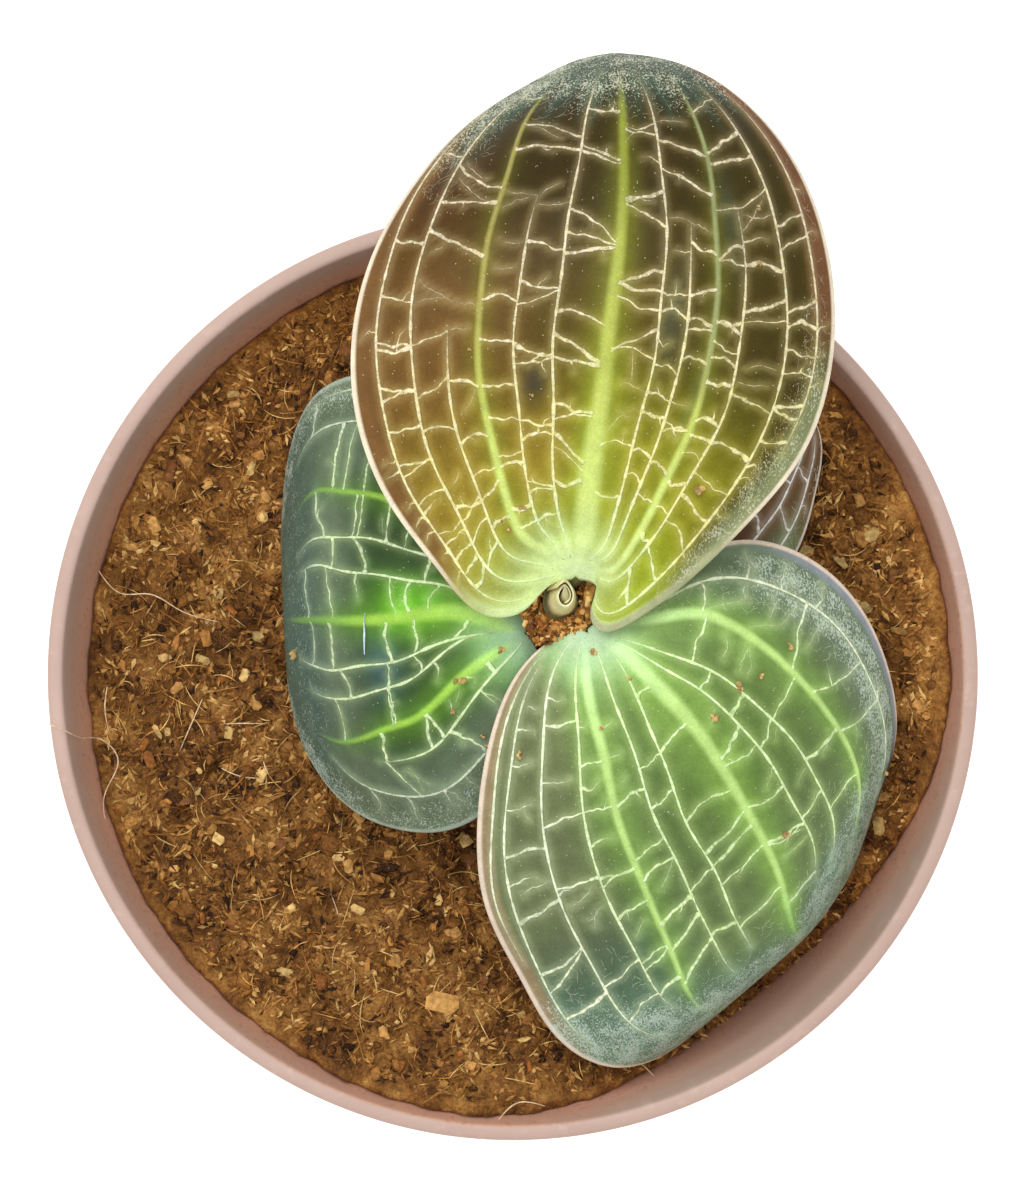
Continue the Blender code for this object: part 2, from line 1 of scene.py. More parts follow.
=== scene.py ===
"""A potted jewel orchid: net-veined blades, soil of coir and fine bark, and a pinkish plastic pot.

Lengths here are in millimetres and become metres as each mesh is made. The blades, stalks and soil
repeat the rails and rules of the solids in the frame, at a finer step. A place on a blade is given by
how far it lies along the blade, from 0 at the stalk to 1 at the tip, and across it, from -1 to 1
between the two edges. Each blade's veins have a letter, M for the midrib, and "<" and ">" are its
edges. "veins" says where each one lies across the blade at five stations along it, "spans" where it
starts and ends, and "main" how strong the broad ones are. A rung runs between two veins, from a place
along the first to one along the second. A third number is the share of the way that it goes before it
breaks off, counted from the second vein where it is negative. A link runs from one (along, across)
place to another. A speck has a place and a size, and a sparkling zone, where sparkle is painted as
glints of light, its reach along and across, and how many strokes of painted sparkle it has.
"""

import json
import math

import bpy
import numpy as np
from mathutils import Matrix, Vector
from mathutils.kdtree import KDTree

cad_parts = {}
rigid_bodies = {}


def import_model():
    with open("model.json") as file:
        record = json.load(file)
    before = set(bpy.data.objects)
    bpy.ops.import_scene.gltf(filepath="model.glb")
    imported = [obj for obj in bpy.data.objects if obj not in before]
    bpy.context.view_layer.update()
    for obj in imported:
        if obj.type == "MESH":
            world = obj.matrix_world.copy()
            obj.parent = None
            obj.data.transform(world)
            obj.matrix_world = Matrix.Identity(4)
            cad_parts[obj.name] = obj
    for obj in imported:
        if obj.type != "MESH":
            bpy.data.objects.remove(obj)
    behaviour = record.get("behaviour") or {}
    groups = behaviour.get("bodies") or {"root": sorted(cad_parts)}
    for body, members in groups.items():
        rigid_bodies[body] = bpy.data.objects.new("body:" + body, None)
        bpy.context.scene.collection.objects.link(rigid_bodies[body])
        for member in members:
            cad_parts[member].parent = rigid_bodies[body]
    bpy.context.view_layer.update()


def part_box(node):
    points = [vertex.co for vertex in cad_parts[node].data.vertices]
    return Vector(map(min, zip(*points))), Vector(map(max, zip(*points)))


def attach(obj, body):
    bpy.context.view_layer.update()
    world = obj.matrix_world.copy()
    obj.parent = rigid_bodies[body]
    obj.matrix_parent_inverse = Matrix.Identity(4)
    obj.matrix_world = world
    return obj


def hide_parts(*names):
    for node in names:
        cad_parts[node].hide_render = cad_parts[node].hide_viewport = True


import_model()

MM = 0.001
UP = np.array((0.0, 0.0, 1.0))
EDGES = {"<": -1.0, ">": 1.0}
STATIONS = (0.1, 0.3, 0.5, 0.7, 0.9)

CAMERA_PLACE = (0.09, 9.05, 458.0)
CAMERA_LENS = 91.73
SENSOR = 36.0
LIGHT_PLACE = (-170.0, 260.0, 920.0)
LIGHT_SIZE = 800.0
LIGHT_POWER = 5.4
SKY_STRENGTH = 0.68
FLOOR_SIZE = 6000.0
FLOOR_GLOW = 0.5

pot_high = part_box("pot")[1] / MM
POT_HEIGHT = pot_high.z
POT_TOP_RADIUS = pot_high.x
POT_BASE_RADIUS = 40.0
POT_WALL = 1.9
POT_FLOOR = 2.5
POT_SIDES = 256
POT_MIDDLE = 4.0
FOOT_CHAMFER = 1.2
DRAIN_HOLES = 6
DRAIN_RING = 25.0
DRAIN_RADIUS = 3.0
DRAIN_SIDES = 36
GROOVE_WIDTH = 3.0
GROOVE_DEPTH = 0.9
GAP = 0.3

SOIL = {"slot": "coir_and_bark", "node": "substrate"}
SOIL_CENTRE = 84.5
SOIL_EDGE = {
    -180: 88.5, -135: 92.0, -95: 96.0, -50: 79.5, 0: 94.0, 45: 92.0, 90: 89.0, 135: 88.0, 180: 88.5,
}
SOIL_LUMP = 0.75
SOIL_RINGS = 88
# A "log" pair is the mean and the spread of a size's logarithm. Other pairs are a least and a most.
# A chip's width and thickness are shares of its length, and a crumb's stretch is one of its size.
SHREDS = 21000
SHRED_LOG_LENGTH = (0.22, 0.42)
SHRED_WIDTH = (0.26, 0.62)
SHRED_THICKNESS = (0.2, 0.4)
SHRED_LIFT = (0.0, 0.45)
SHRED_TILT = 0.28
CRUMBS = 1200
CRUMB_LOG_SIZE = (0.1, 0.34)
CRUMB_STRETCH = (0.5, 1.3)
CHIPS = 520
CHIP_LENGTH = (0.9, 2.3)
CHIP_WIDTH = (0.35, 0.75)
CHIP_THICKNESS = (0.14, 0.3)
CHIP_TILT = 0.2
CHIP_LIFT = 0.35
LARGE_CHIPS = np.array([
    (-41.5, 24.5, 3.4), (-43.5, 18.0, 2.6), (46.3, 5.2, 2.4),
    (-8.5, -39.5, 4.6), (-41.0, 3.5, 2.6), (-28.0, 34.0, 2.4),
])
FIBRES = 1500
FIBRE_LENGTH = (1.2, 5.5)
FIBRE_BEND = 1.6
FIBRE_LIFT = 0.35
FIBRE_ARCH = (0.1, 0.9)
FIBRE_RADII = (0.05, 0.08, 0.03)
LONG_FIBRE_RADII = (0.06, 0.1, 0.04)

AXIS = np.array((5.45, 8.9))
STEM_RADIUS = 2.0
STEM_FOOT = 72.0
STEM_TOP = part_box("stem")[1].z / MM
SHEATH_INNER = STEM_RADIUS + GAP
SHEATH_OUTER = SHEATH_INNER + 0.8
SHEATH_LENGTH = 5.0
SHEATH_STEP = 5.4
SHEATH_START = 87.2
SHEATH_SWELL = 0.12
NODE_SWELL = 0.06
ROOTS = 4
ROOT_REACH = 15.0
ROOT_DEPTH = 34.0
ROOT_RADIUS = 1.2

BLADE = 0.62
BLADE_STEP = 0.46
NET_STEP = 0.36
MAIN_RISE = 0.3
VEIN_RISE = 0.17
VEIN_WIDTH = 0.5
VEIN_HALF_WIDTHS = (0.185, 0.165, 0.115)
RUNG_HALF_WIDTH = (0.08, 0.2)
LINK_HALF_WIDTH = (0.1, 0.18)
LEAST_HALF_WIDTH = 0.03
TWIG_CHANCE = 0.3
STROKE_LENGTH = (0.4, 1.7)
STROKE_HALF_WIDTH = (0.04, 0.075)
STROKE_FORCE = 0.6
NET_SINK = 0.16
EDGE_ROUND = 0.3
CELL_DIP = 0.08
CELL_SHADE = 0.22
LINE_GAIN = 1.3
HALO = 0.2
HALO_WIDTH = 0.5
STALK_RADIUS = 1.15
STALK_TAPER = (1.0, 1.0, 0.95, 0.92, 0.9, 0.88, 0.8, 0.68, 0.56, 0.44, 0.3)
KEEL_END = 0.32
MIDRIB_WIDTH = {0.0: 1.0, 0.08: 1.2, 0.2: 1.15, 0.35: 0.8, 0.6: 0.5, 0.75: 0.4, 0.9: 0.26, 1.0: 0.12}

ROLL_FOOT = 2.25
ROLL_TOP = 1.45
ROLL_WALL = 0.34
ROLL_PITCH = 0.4
ROLL_TURNS = 1.7
ROLL_HEIGHT = 8.6
ROLL_START = 150.0
ROLL_FOOT_SHIFT = (-0.1, -0.3)
ROLL_TOP_SHIFT = (0.38, 0.5)
ROLL_LEVELS = np.linspace(0, 1, 20)
ROLL_CORE = np.array([(-0.2, -0.5, -5.0), (-0.05, -0.3, -2.2), (0.0, 0.25, -0.6), (-0.05, 0.95, 0.9)])
ROLL_CORE_RADII = (0.62, 0.6, 0.42, 0.07)

FLAKE_PATH = ((2.95, -2.8, 112.6), (3.0, -1.3, 112.9), (3.1, 0.3, 113.3), (3.5, 2.1, 113.7))
AXIL_CRUMBS = 1500
AXIL_INNER = 2.2
AXIL_BED = 111.6
AXIL_HEIGHTS = (111.5, 112.8)
AXIL_REACH = {
    0: 3.1, 70: 3.0, 130: 3.4, 180: 4.0, 200: 4.5, 215: 4.9,
    240: 5.9, 256: 5.2, 275: 4.0, 320: 4.3, 360: 3.1,
}
BARK = {"slot": "bark", "node": "axil_crumbs"}
SPECK_BITS = 3
NOISE_RANGE = (0.3, 0.7)

LEAF_TOP = {
    "midrib": [
        (7, 11.4, 116.8), (8, 16.5, 120), (8.5, 23, 124), (9.5, 30, 127.5), (10.5, 39, 130),
        (11.5, 47, 130.5), (12, 55, 128.5), (12, 62, 125), (11.8, 67.3, 120.5), (11.5, 70.4, 115.2),
    ],
    "left": [
        (7, 11.4, 116.8), (5, 11, 116.5), (3.1, 9.6, 116), (1.3, 7.8, 115.5), (-2.3, 7.1, 116),
        (-8, 12, 118), (-13.5, 19.5, 121), (-17, 28.5, 123.5), (-17.5, 37.5, 124.5), (-15, 47.5, 124),
        (-10.5, 55.5, 121.5), (-4.5, 62.5, 118), (3, 67.6, 115.5), (8, 69.9, 114.9),
        (11.5, 70.4, 115.2),
    ],
    "right": [
        (7, 11.4, 116.8), (9.3, 10.5, 116.5), (8.7, 7.6, 116), (9.4, 5.8, 116), (14.5, 7.2, 116.9),
        (20.6, 12, 118.5), (27, 18.5, 120), (32, 25, 121), (35, 34, 122), (35, 45.5, 122.5),
        (32, 55.5, 122), (27, 63, 120), (21, 67.8, 118), (15.8, 69.8, 116.2), (11.5, 70.4, 115.2),
    ],
    "veins": {
        "A": (-0.92, -0.9, -0.89, -0.95, -0.97), "B": (-0.8, -0.755, -0.76, -0.805, -0.84),
        "C": (-0.65, -0.62, -0.62, -0.62, -0.65), "D": (-0.5, -0.487, -0.5, -0.53, -0.66),
        "E": (-0.36, -0.347, -0.36, -0.36, -0.4), "F": (-0.2, -0.2, -0.205, -0.215, -0.22),
        "M": (0, 0, 0, 0, 0), "G": (0.26, 0.21, 0.2, 0.19, 0.21), "K": (0.38, 0.34, 0.31, 0.31, 0.33),
        "H": (0.55, 0.48, 0.425, 0.43, 0.55), "L": (0.66, 0.61, 0.55, 0.55, 0.6),
        "I": (0.9, 0.825, 0.76, 0.72, 0.74), "J": (0.95, 0.93, 0.91, 0.887, 0.92),
    },
    "spans": {
        "A": (0.12, 0.82), "B": (0.07, 0.9), "C": (0.09, 0.465), "D": (0.04, 0.93), "E": (0.09, 0.655),
        "F": (0.09, 0.92), "M": (0.02, 0.96), "G": (0.09, 0.9), "K": (0.1, 0.62), "H": (0.04, 0.93),
        "L": (0.1, 0.655), "I": (0.08, 0.86), "J": (0.42, 0.84),
    },
    "main": {"M": 1.0, "D": 0.38, "H": 0.36},
    "rungs": {
        "FM": (
            (0.82, 0.81), (0.745, 0.715), (0.735, 0.71), (0.63, 0.575), (0.592, 0.572), (0.556, 0.568),
            (0.467, 0.445), (0.433, 0.385), (0.398, 0.382), (0.323, 0.303), (0.296, 0.298),
            (0.275, 0.215), (0.25, 0.2), (0.19, 0.185),
        ),
        "MG": (
            (0.78, 0.787), (0.775, 0.765), (0.735, 0.712, -0.5), (0.645, 0.665), (0.645, 0.65, 0.7),
            (0.64, 0.605), (0.513, 0.537), (0.515, 0.507), (0.493, 0.478), (0.405, 0.45), (0.41, 0.402),
            (0.248, 0.257), (0.165, 0.17),
        ),
        "GH": ((0.755, 0.73), (0.705, 0.667)),
        "GK": (
            (0.57, 0.575, -0.7), (0.507, 0.51), (0.477, 0.474), (0.435, 0.43, 0.5), (0.395, 0.387),
            (0.35, 0.345), (0.316, 0.318), (0.25, 0.25), (0.21, 0.205),
        ),
        "KH": (
            (0.59, 0.577), (0.51, 0.528), (0.473, 0.472), (0.457, 0.467), (0.412, 0.418),
            (0.347, 0.352, 0.7), (0.3, 0.317), (0.315, 0.318), (0.245, 0.243), (0.19, 0.195),
        ),
        "HI": ((0.81, 0.835), (0.735, 0.775), (0.718, 0.738), (0.645, 0.69)),
        "HL": (
            (0.57, 0.598), (0.57, 0.572), (0.482, 0.493), (0.482, 0.476), (0.455, 0.45), (0.43, 0.43),
            (0.395, 0.405), (0.335, 0.345), (0.312, 0.32), (0.285, 0.29), (0.24, 0.255), (0.195, 0.205),
            (0.15, 0.155),
        ),
        "LI": (
            (0.605, 0.625, 0.75), (0.573, 0.58), (0.508, 0.545), (0.493, 0.52), (0.396, 0.402),
            (0.322, 0.337), (0.275, 0.29), (0.24, 0.25), (0.195, 0.2), (0.15, 0.15), (0.11, 0.11),
        ),
        "IJ": (
            (0.64, 0.665), (0.608, 0.638), (0.53, 0.562), (0.512, 0.528), (0.485, 0.495),
            (0.455, 0.472), (0.412, 0.437), (0.412, 0.42), (0.367, 0.39), (0.33, 0.34, 0.5),
            (0.312, 0.325, 0.6), (0.27, 0.275, 0.6), (0.2, 0.2, 0.5),
        ),
        "J>": ((0.7, 0.7), (0.64, 0.65), (0.525, 0.55), (0.5, 0.51), (0.46, 0.48)),
        "EF": (
            (0.578, 0.562), (0.517, 0.502), (0.482, 0.5), (0.425, 0.4), (0.393, 0.396), (0.306, 0.287),
            (0.272, 0.27), (0.203, 0.178), (0.183, 0.175), (0.13, 0.13),
        ),
        "DF": ((0.74, 0.735), (0.79, 0.76)),
        "DE": (
            (0.497, 0.487), (0.44, 0.427), (0.372, 0.36), (0.325, 0.305), (0.26, 0.255), (0.243, 0.235),
            (0.175, 0.165), (0.14, 0.135),
        ),
        "CD": ((0.395, 0.372), (0.303, 0.295), (0.25, 0.245), (0.212, 0.225), (0.17, 0.165)),
        "BD": ((0.717, 0.67), (0.655, 0.645), (0.613, 0.56), (0.86, 0.85)),
        "BC": (
            (0.458, 0.463), (0.388, 0.4), (0.345, 0.325), (0.232, 0.213), (0.21, 0.22), (0.178, 0.188),
            (0.14, 0.15),
        ),
        "AB": (
            (0.74, 0.73), (0.607, 0.592), (0.535, 0.515), (0.478, 0.458), (0.47, 0.457), (0.423, 0.4),
            (0.405, 0.4), (0.368, 0.355), (0.325, 0.308), (0.31, 0.308), (0.268, 0.26),
            (0.255, 0.255, 0.7), (0.225, 0.213), (0.208, 0.2), (0.185, 0.18), (0.165, 0.165),
            (0.145, 0.15),
        ),
        "<A": (
            (0.49, 0.49), (0.34, 0.335), (0.325, 0.32), (0.28, 0.275), (0.25, 0.25), (0.23, 0.23),
            (0.2, 0.2), (0.17, 0.17),
        ),
    },
    "links": (
        (0.787, 0.2, 0.79, 0.4), (0.622, 0.2, 0.617, 0.34), (0.615, 0.32, 0.61, 0.4),
        (0.41, 0.11, 0.357, 0.13), (0.355, 0.085, 0.348, 0.2), (0.262, 0.04, 0.318, 0.17),
        (0.31, 0.1, 0.305, 0.17), (0.62, 0.55, 0.675, 0.7), (0.645, 0.57, 0.655, 0.73),
        (0.435, 0.61, 0.455, 0.755), (0.407, 0.56, 0.432, 0.74), (0.79, -0.55, 0.76, -0.33),
        (0.667, -0.52, 0.655, -0.36), (0.637, -0.5, 0.652, -0.4), (0.655, -0.35, 0.675, -0.28),
        (0.64, -0.35, 0.642, -0.22), (0.585, -0.47, 0.578, -0.38), (0.543, -0.46, 0.54, -0.38),
        (0.465, -0.62, 0.46, -0.54), (0.375, -0.5, 0.345, -0.58), (0.695, -0.77, 0.648, -0.57),
        (0.548, -0.77, 0.5, -0.6), (0.5, -0.6, 0.488, -0.51), (0.513, -0.76, 0.51, -0.63),
        (0.58, -0.73, 0.585, -0.7), (0.26, -0.73, 0.268, -0.68), (0.72, -0.78, 0.69, -0.62),
    ),
    "specks": (
        (0.262, 0.69, 1.3), (0.165, -0.56, 0.7), (0.15, -0.55, 0.6), (0.43, -0.53, 0.5),
        (0.165, -0.42, 0.7), (0.355, -0.84, 0.5), (0.58, 0.62, 0.6), (0.34, -0.29, 0.5),
        (0.4, 0.66, 0.5), (0.66, 0.66, 0.7),
    ),
    "sparkling": (
        (0.8, 0.95, -0.95, 0.9, 260), (0.66, 0.85, -0.95, -0.7, 120), (0.14, 0.56, 0.84, 0.96, 170),
        (0.3, 0.7, 0.9, 0.97, 60),
    ),
    "level": 3,
    # Painted light: how much each station's tones are brightened or darkened against the lamp.
    "lift": (1.0, 0.93, 0.84, 0.71, 0.69),
    "facing": 1,
}
LEAF_FRONT = {
    "midrib": [
        (8.4, 5.2, 113.2), (12, 3.4, 114.5), (15.5, 0, 115.5), (20.5, -5.5, 115.5), (24.5, -11.5, 114),
        (28, -17.5, 111), (30.5, -22.5, 107.5), (32.5, -28.5, 102), (34, -32, 95), (33.5, -33.5, 88),
    ],
    "left": [
        (8.4, 5.2, 113.2), (6.8, 5.4, 112.8), (4.7, 4.5, 112.2), (0.7, 0.6, 110.8), (-2.5, -7, 109),
        (-4, -17.5, 107), (-3, -27, 104.5), (1, -35.5, 101.5), (5.5, -43, 98), (13, -47, 94),
        (19, -45.5, 91), (24.2, -41.6, 89), (29.4, -36.7, 88.2), (33.5, -33.5, 88),
    ],
    "right": [
        (8.4, 5.2, 113.2), (10.4, 6.8, 113), (14.5, 9, 112.5), (19.5, 13, 111.5), (25, 15.5, 110),
        (33.5, 14, 107), (40.5, 8, 103.5), (44.5, -0.5, 100), (45.5, -7.5, 96.5), (43.5, -16, 93),
        (40.5, -25, 89.5), (36.5, -30.5, 88), (33.5, -33.5, 88),
    ],
    "veins": {
        "A": (-0.94, -0.945, -0.97, -0.97, -0.97), "B": (-0.88, -0.89, -0.92, -0.94, -0.95),
        "C": (-0.735, -0.745, -0.735, -0.76, -0.8), "P": (-0.52, -0.58, -0.575, -0.6, -0.66),
        "D": (-0.43, -0.445, -0.44, -0.5, -0.76), "E": (-0.26, -0.31, -0.3, -0.33, -0.36),
        "F": (-0.1, -0.21, -0.2, -0.21, -0.26), "M": (0, 0, 0, 0, 0),
        "G": (0.13, 0.17, 0.19, 0.24, 0.27), "K": (0.28, 0.28, 0.34, 0.39, 0.42),
        "H": (0.72, 0.49, 0.55, 0.63, 0.66), "I": (0.86, 0.8, 0.84, 0.86, 0.88),
    },
    "spans": {
        "A": (0.12, 0.5), "B": (0.14, 0.66), "C": (0.08, 0.74), "P": (0.09, 0.7), "D": (0.04, 0.8),
        "E": (0.09, 0.74), "F": (0.12, 0.72), "M": (0.01, 0.88), "G": (0.1, 0.72), "K": (0.1, 0.74),
        "H": (0.04, 0.78), "I": (0.1, 0.72),
    },
    "main": {"M": 0.68, "D": 0.46, "H": 0.46},
    "rungs": {
        "BC": (
            (0.35, 0.345), (0.445, 0.425), (0.525, 0.51), (0.555, 0.512), (0.6, 0.595),
            (0.39, 0.385, 0.7), (0.225, 0.218, 0.7), (0.285, 0.275, 0.75), (0.178, 0.178, 0.6),
        ),
        "CP": (
            (0.168, 0.163), (0.25, 0.25, 0.75), (0.315, 0.305), (0.408, 0.413), (0.585, 0.575),
            (0.13, 0.135, 0.5), (0.66, 0.65), (0.42, 0.41, 0.35),
        ),
        "PD": (
            (0.175, 0.172, 0.6), (0.235, 0.235), (0.265, 0.262, 0.75), (0.305, 0.31),
            (0.362, 0.36, 0.75), (0.415, 0.425), (0.432, 0.425), (0.495, 0.49), (0.585, 0.585),
            (0.6, 0.588), (0.655, 0.65),
        ),
        "DE": (
            (0.315, 0.308), (0.415, 0.402), (0.455, 0.445), (0.545, 0.53), (0.6, 0.568), (0.67, 0.63),
            (0.185, 0.183, 0.7),
        ),
        "EF": ((0.272, 0.267), (0.345, 0.335), (0.52, 0.51), (0.625, 0.64)),
        "FM": (
            (0.266, 0.252), (0.4, 0.405), (0.475, 0.455), (0.505, 0.49), (0.55, 0.54), (0.655, 0.65),
            (0.165, 0.16),
        ),
        "MG": (
            (0.345, 0.325), (0.36, 0.375), (0.455, 0.475), (0.545, 0.575), (0.55, 0.57), (0.705, 0.7),
        ),
        "GK": ((0.228, 0.225), (0.3, 0.297), (0.385, 0.365), (0.56, 0.55)),
        "KH": ((0.187, 0.185), (0.37, 0.365), (0.475, 0.495), (0.6, 0.6)),
        "HI": ((0.178, 0.178), (0.355, 0.345), (0.41, 0.475), (0.505, 0.545)),
        "I>": ((0.245, 0.245), (0.3, 0.31), (0.36, 0.37), (0.545, 0.55)),
    },
    "links": (
        (0.148, -0.86, 0.148, -0.78), (0.285, -0.82, 0.3, -0.8), (0.405, -0.86, 0.395, -0.75),
        (0.445, -0.735, 0.42, -0.6), (0.475, -0.68, 0.46, -0.6), (0.49, -0.67, 0.462, -0.62),
        (0.497, -0.56, 0.488, -0.51), (0.54, -0.56, 0.52, -0.5), (0.235, -0.42, 0.232, -0.35),
        (0.285, -0.4, 0.275, -0.37), (0.485, -0.4, 0.447, -0.31), (0.285, 0.06, 0.27, 0.13),
        (0.6, 0.06, 0.6, 0.22), (0.4, 0.26, 0.39, 0.3), (0.455, 0.12, 0.43, 0.19),
        (0.235, 0.37, 0.222, 0.52), (0.27, 0.35, 0.263, 0.5), (0.285, 0.36, 0.268, 0.5),
        (0.5, 0.42, 0.485, 0.5), (0.5, 0.25, 0.485, 0.33), (0.18, 0.66, 0.242, 0.71),
        (0.245, 0.71, 0.245, 0.8), (0.26, 0.585, 0.31, 0.66), (0.31, 0.66, 0.33, 0.79),
        (0.29, 0.66, 0.285, 0.79), (0.365, 0.64, 0.385, 0.79), (0.31, 0.93, 0.32, 0.84),
        (0.25, 0.92, 0.255, 0.84),
    ),
    "specks": (
        (0.055, -0.3, 0.9), (0.13, -0.12, 0.6), (0.185, -0.4, 0.7), (0.21, -0.85, 0.9),
        (0.28, 0.1, 0.9), (0.285, 0.3, 1.2), (0.31, 0.4, 0.7), (0.335, 0.6, 0.8), (0.56, 0.1, 1.1),
        (0.68, 0.9, 0.9),
    ),
    "sparkling": (
        (0.68, 0.93, -0.95, 0.7, 480), (0.54, 0.72, -0.96, -0.6, 170), (0.2, 0.68, 0.66, 0.92, 330),
        (0.56, 0.78, 0.25, 0.7, 150), (0.1, 0.2, 0.75, 0.9, 30),
    ),
    "level": 2,
    "lift": (1.08, 0.98, 0.97, 1.18, 1.4),
    "facing": -1,
}
LEAF_LEFT = {
    "midrib": [
        (1.5, 5, 109), (-2.5, 6.5, 110.5), (-6.5, 7.5, 110.5), (-12, 7, 109.5), (-17.5, 6.5, 107),
        (-22, 6.5, 103), (-25.5, 6.5, 97.5), (-27.5, 6.5, 92.5), (-27.5, 6.5, 88.5),
    ],
    "left": [
        (1.5, 5, 109), (3, 2.5, 108), (3, -2.5, 106.5), (0.5, -10.5, 103.5), (-4, -16.5, 100),
        (-8.5, -18.5, 97.5), (-13.5, -18.5, 95), (-19, -16.5, 92.5), (-23.5, -12, 91),
        (-26.5, -5.5, 89.5), (-27.5, 1.5, 88.5), (-27.5, 6.5, 88.5),
    ],
    "right": [
        (1.5, 5, 109), (1.2, 8.5, 108.6), (1.5, 15, 107.5), (-1, 24.5, 105), (-6.5, 31.5, 102),
        (-12.5, 35, 99.5), (-18.5, 35.5, 97), (-23.5, 33.5, 94), (-26.5, 28.5, 91), (-28, 20, 89),
        (-28, 12.5, 88.5), (-27.5, 6.5, 88.5),
    ],
    "veins": {
        "A": (-0.86, -0.81, -0.81, -0.72, -0.7), "B": (-0.48, -0.61, -0.63, -0.66, -0.7),
        "D": (-0.35, -0.445, -0.475, -0.68, -0.8), "E": (-0.1, -0.275, -0.305, -0.42, -0.5),
        "F": (-0.14, -0.18, -0.185, -0.26, -0.3), "M": (0, 0, 0, 0, 0),
        "G": (0.15, 0.175, 0.18, 0.25, 0.3), "K": (0.3, 0.315, 0.32, 0.35, 0.4),
        "H": (0.5, 0.5, 0.49, 0.57, 0.65), "I": (0.76, 0.78, 0.8, 0.8, 0.82),
        "J": (0.92, 0.93, 0.94, 0.94, 0.95),
    },
    "spans": {
        "A": (0.22, 0.66), "B": (0.06, 0.51), "D": (0.05, 0.74), "E": (0.17, 0.72), "F": (0.16, 0.78),
        "M": (0.02, 0.88), "G": (0.1, 0.74), "K": (0.1, 0.74), "H": (0.05, 0.76), "I": (0.2, 0.7),
        "J": (0.3, 0.66),
    },
    "main": {"M": 0.8, "D": 0.5, "H": 0.4},
    "rungs": {
        "FM": ((0.325, 0.325), (0.33, 0.32), (0.395, 0.4), (0.6, 0.6), (0.7, 0.69), (0.22, 0.17)),
        "EF": ((0.325, 0.335), (0.42, 0.41), (0.545, 0.575)),
        "DE": ((0.43, 0.42), (0.435, 0.425), (0.6, 0.61), (0.29, 0.285, -0.6)),
        "BD": ((0.205, 0.215, -0.6), (0.365, 0.345), (0.33, 0.345), (0.485, 0.475), (0.15, 0.15)),
        "AB": ((0.27, 0.31), (0.44, 0.49)),
        "<B": ((0.2, 0.195), (0.165, 0.2)),
        "<A": ((0.39, 0.39), (0.33, 0.335), (0.48, 0.475), (0.55, 0.56)),
        "MG": (
            (0.37, 0.39), (0.33, 0.335), (0.335, 0.33), (0.28, 0.25), (0.58, 0.6), (0.7, 0.7),
            (0.485, 0.49, -0.6),
        ),
        "GK": ((0.465, 0.505), (0.29, 0.285), (0.575, 0.57)),
        "KH": ((0.41, 0.42), (0.51, 0.505), (0.495, 0.49), (0.6, 0.63), (0.36, 0.35), (0.25, 0.26)),
        "HI": ((0.575, 0.56), (0.545, 0.53), (0.49, 0.47), (0.4, 0.39), (0.31, 0.31)),
        "IJ": ((0.64, 0.63), (0.5, 0.49), (0.4, 0.4)),
        "J>": ((0.55, 0.55), (0.45, 0.45)),
    },
    "links": (
        (0.28, -0.47, 0.275, -0.55), (0.44, -0.67, 0.435, -0.8), (0.45, -0.68, 0.41, -0.77),
        (0.3, -0.7, 0.29, -0.64), (0.39, -0.8, 0.37, -0.92), (0.59, 0.65, 0.57, 0.58),
        (0.43, 0.42, 0.425, 0.36), (0.245, -0.46, 0.27, -0.52),
    ),
    "specks": (
        (0.235, -0.42, 1.2), (0.28, -0.53, 0.8), (0.255, -0.75, 0.7), (0.1, -0.35, 0.9),
        (0.8, -0.3, 1.5), (0.26, -0.8, 0.6),
    ),
    "sparkling": (
        (0.25, 0.72, -0.96, -0.8, 170), (0.3, 0.7, 0.84, 0.96, 110), (0.66, 0.8, -0.9, -0.3, 60),
    ),
    "level": 1,
    "lift": (1.2, 1.0, 0.9, 0.96, 1.1),
    "facing": 1,
}
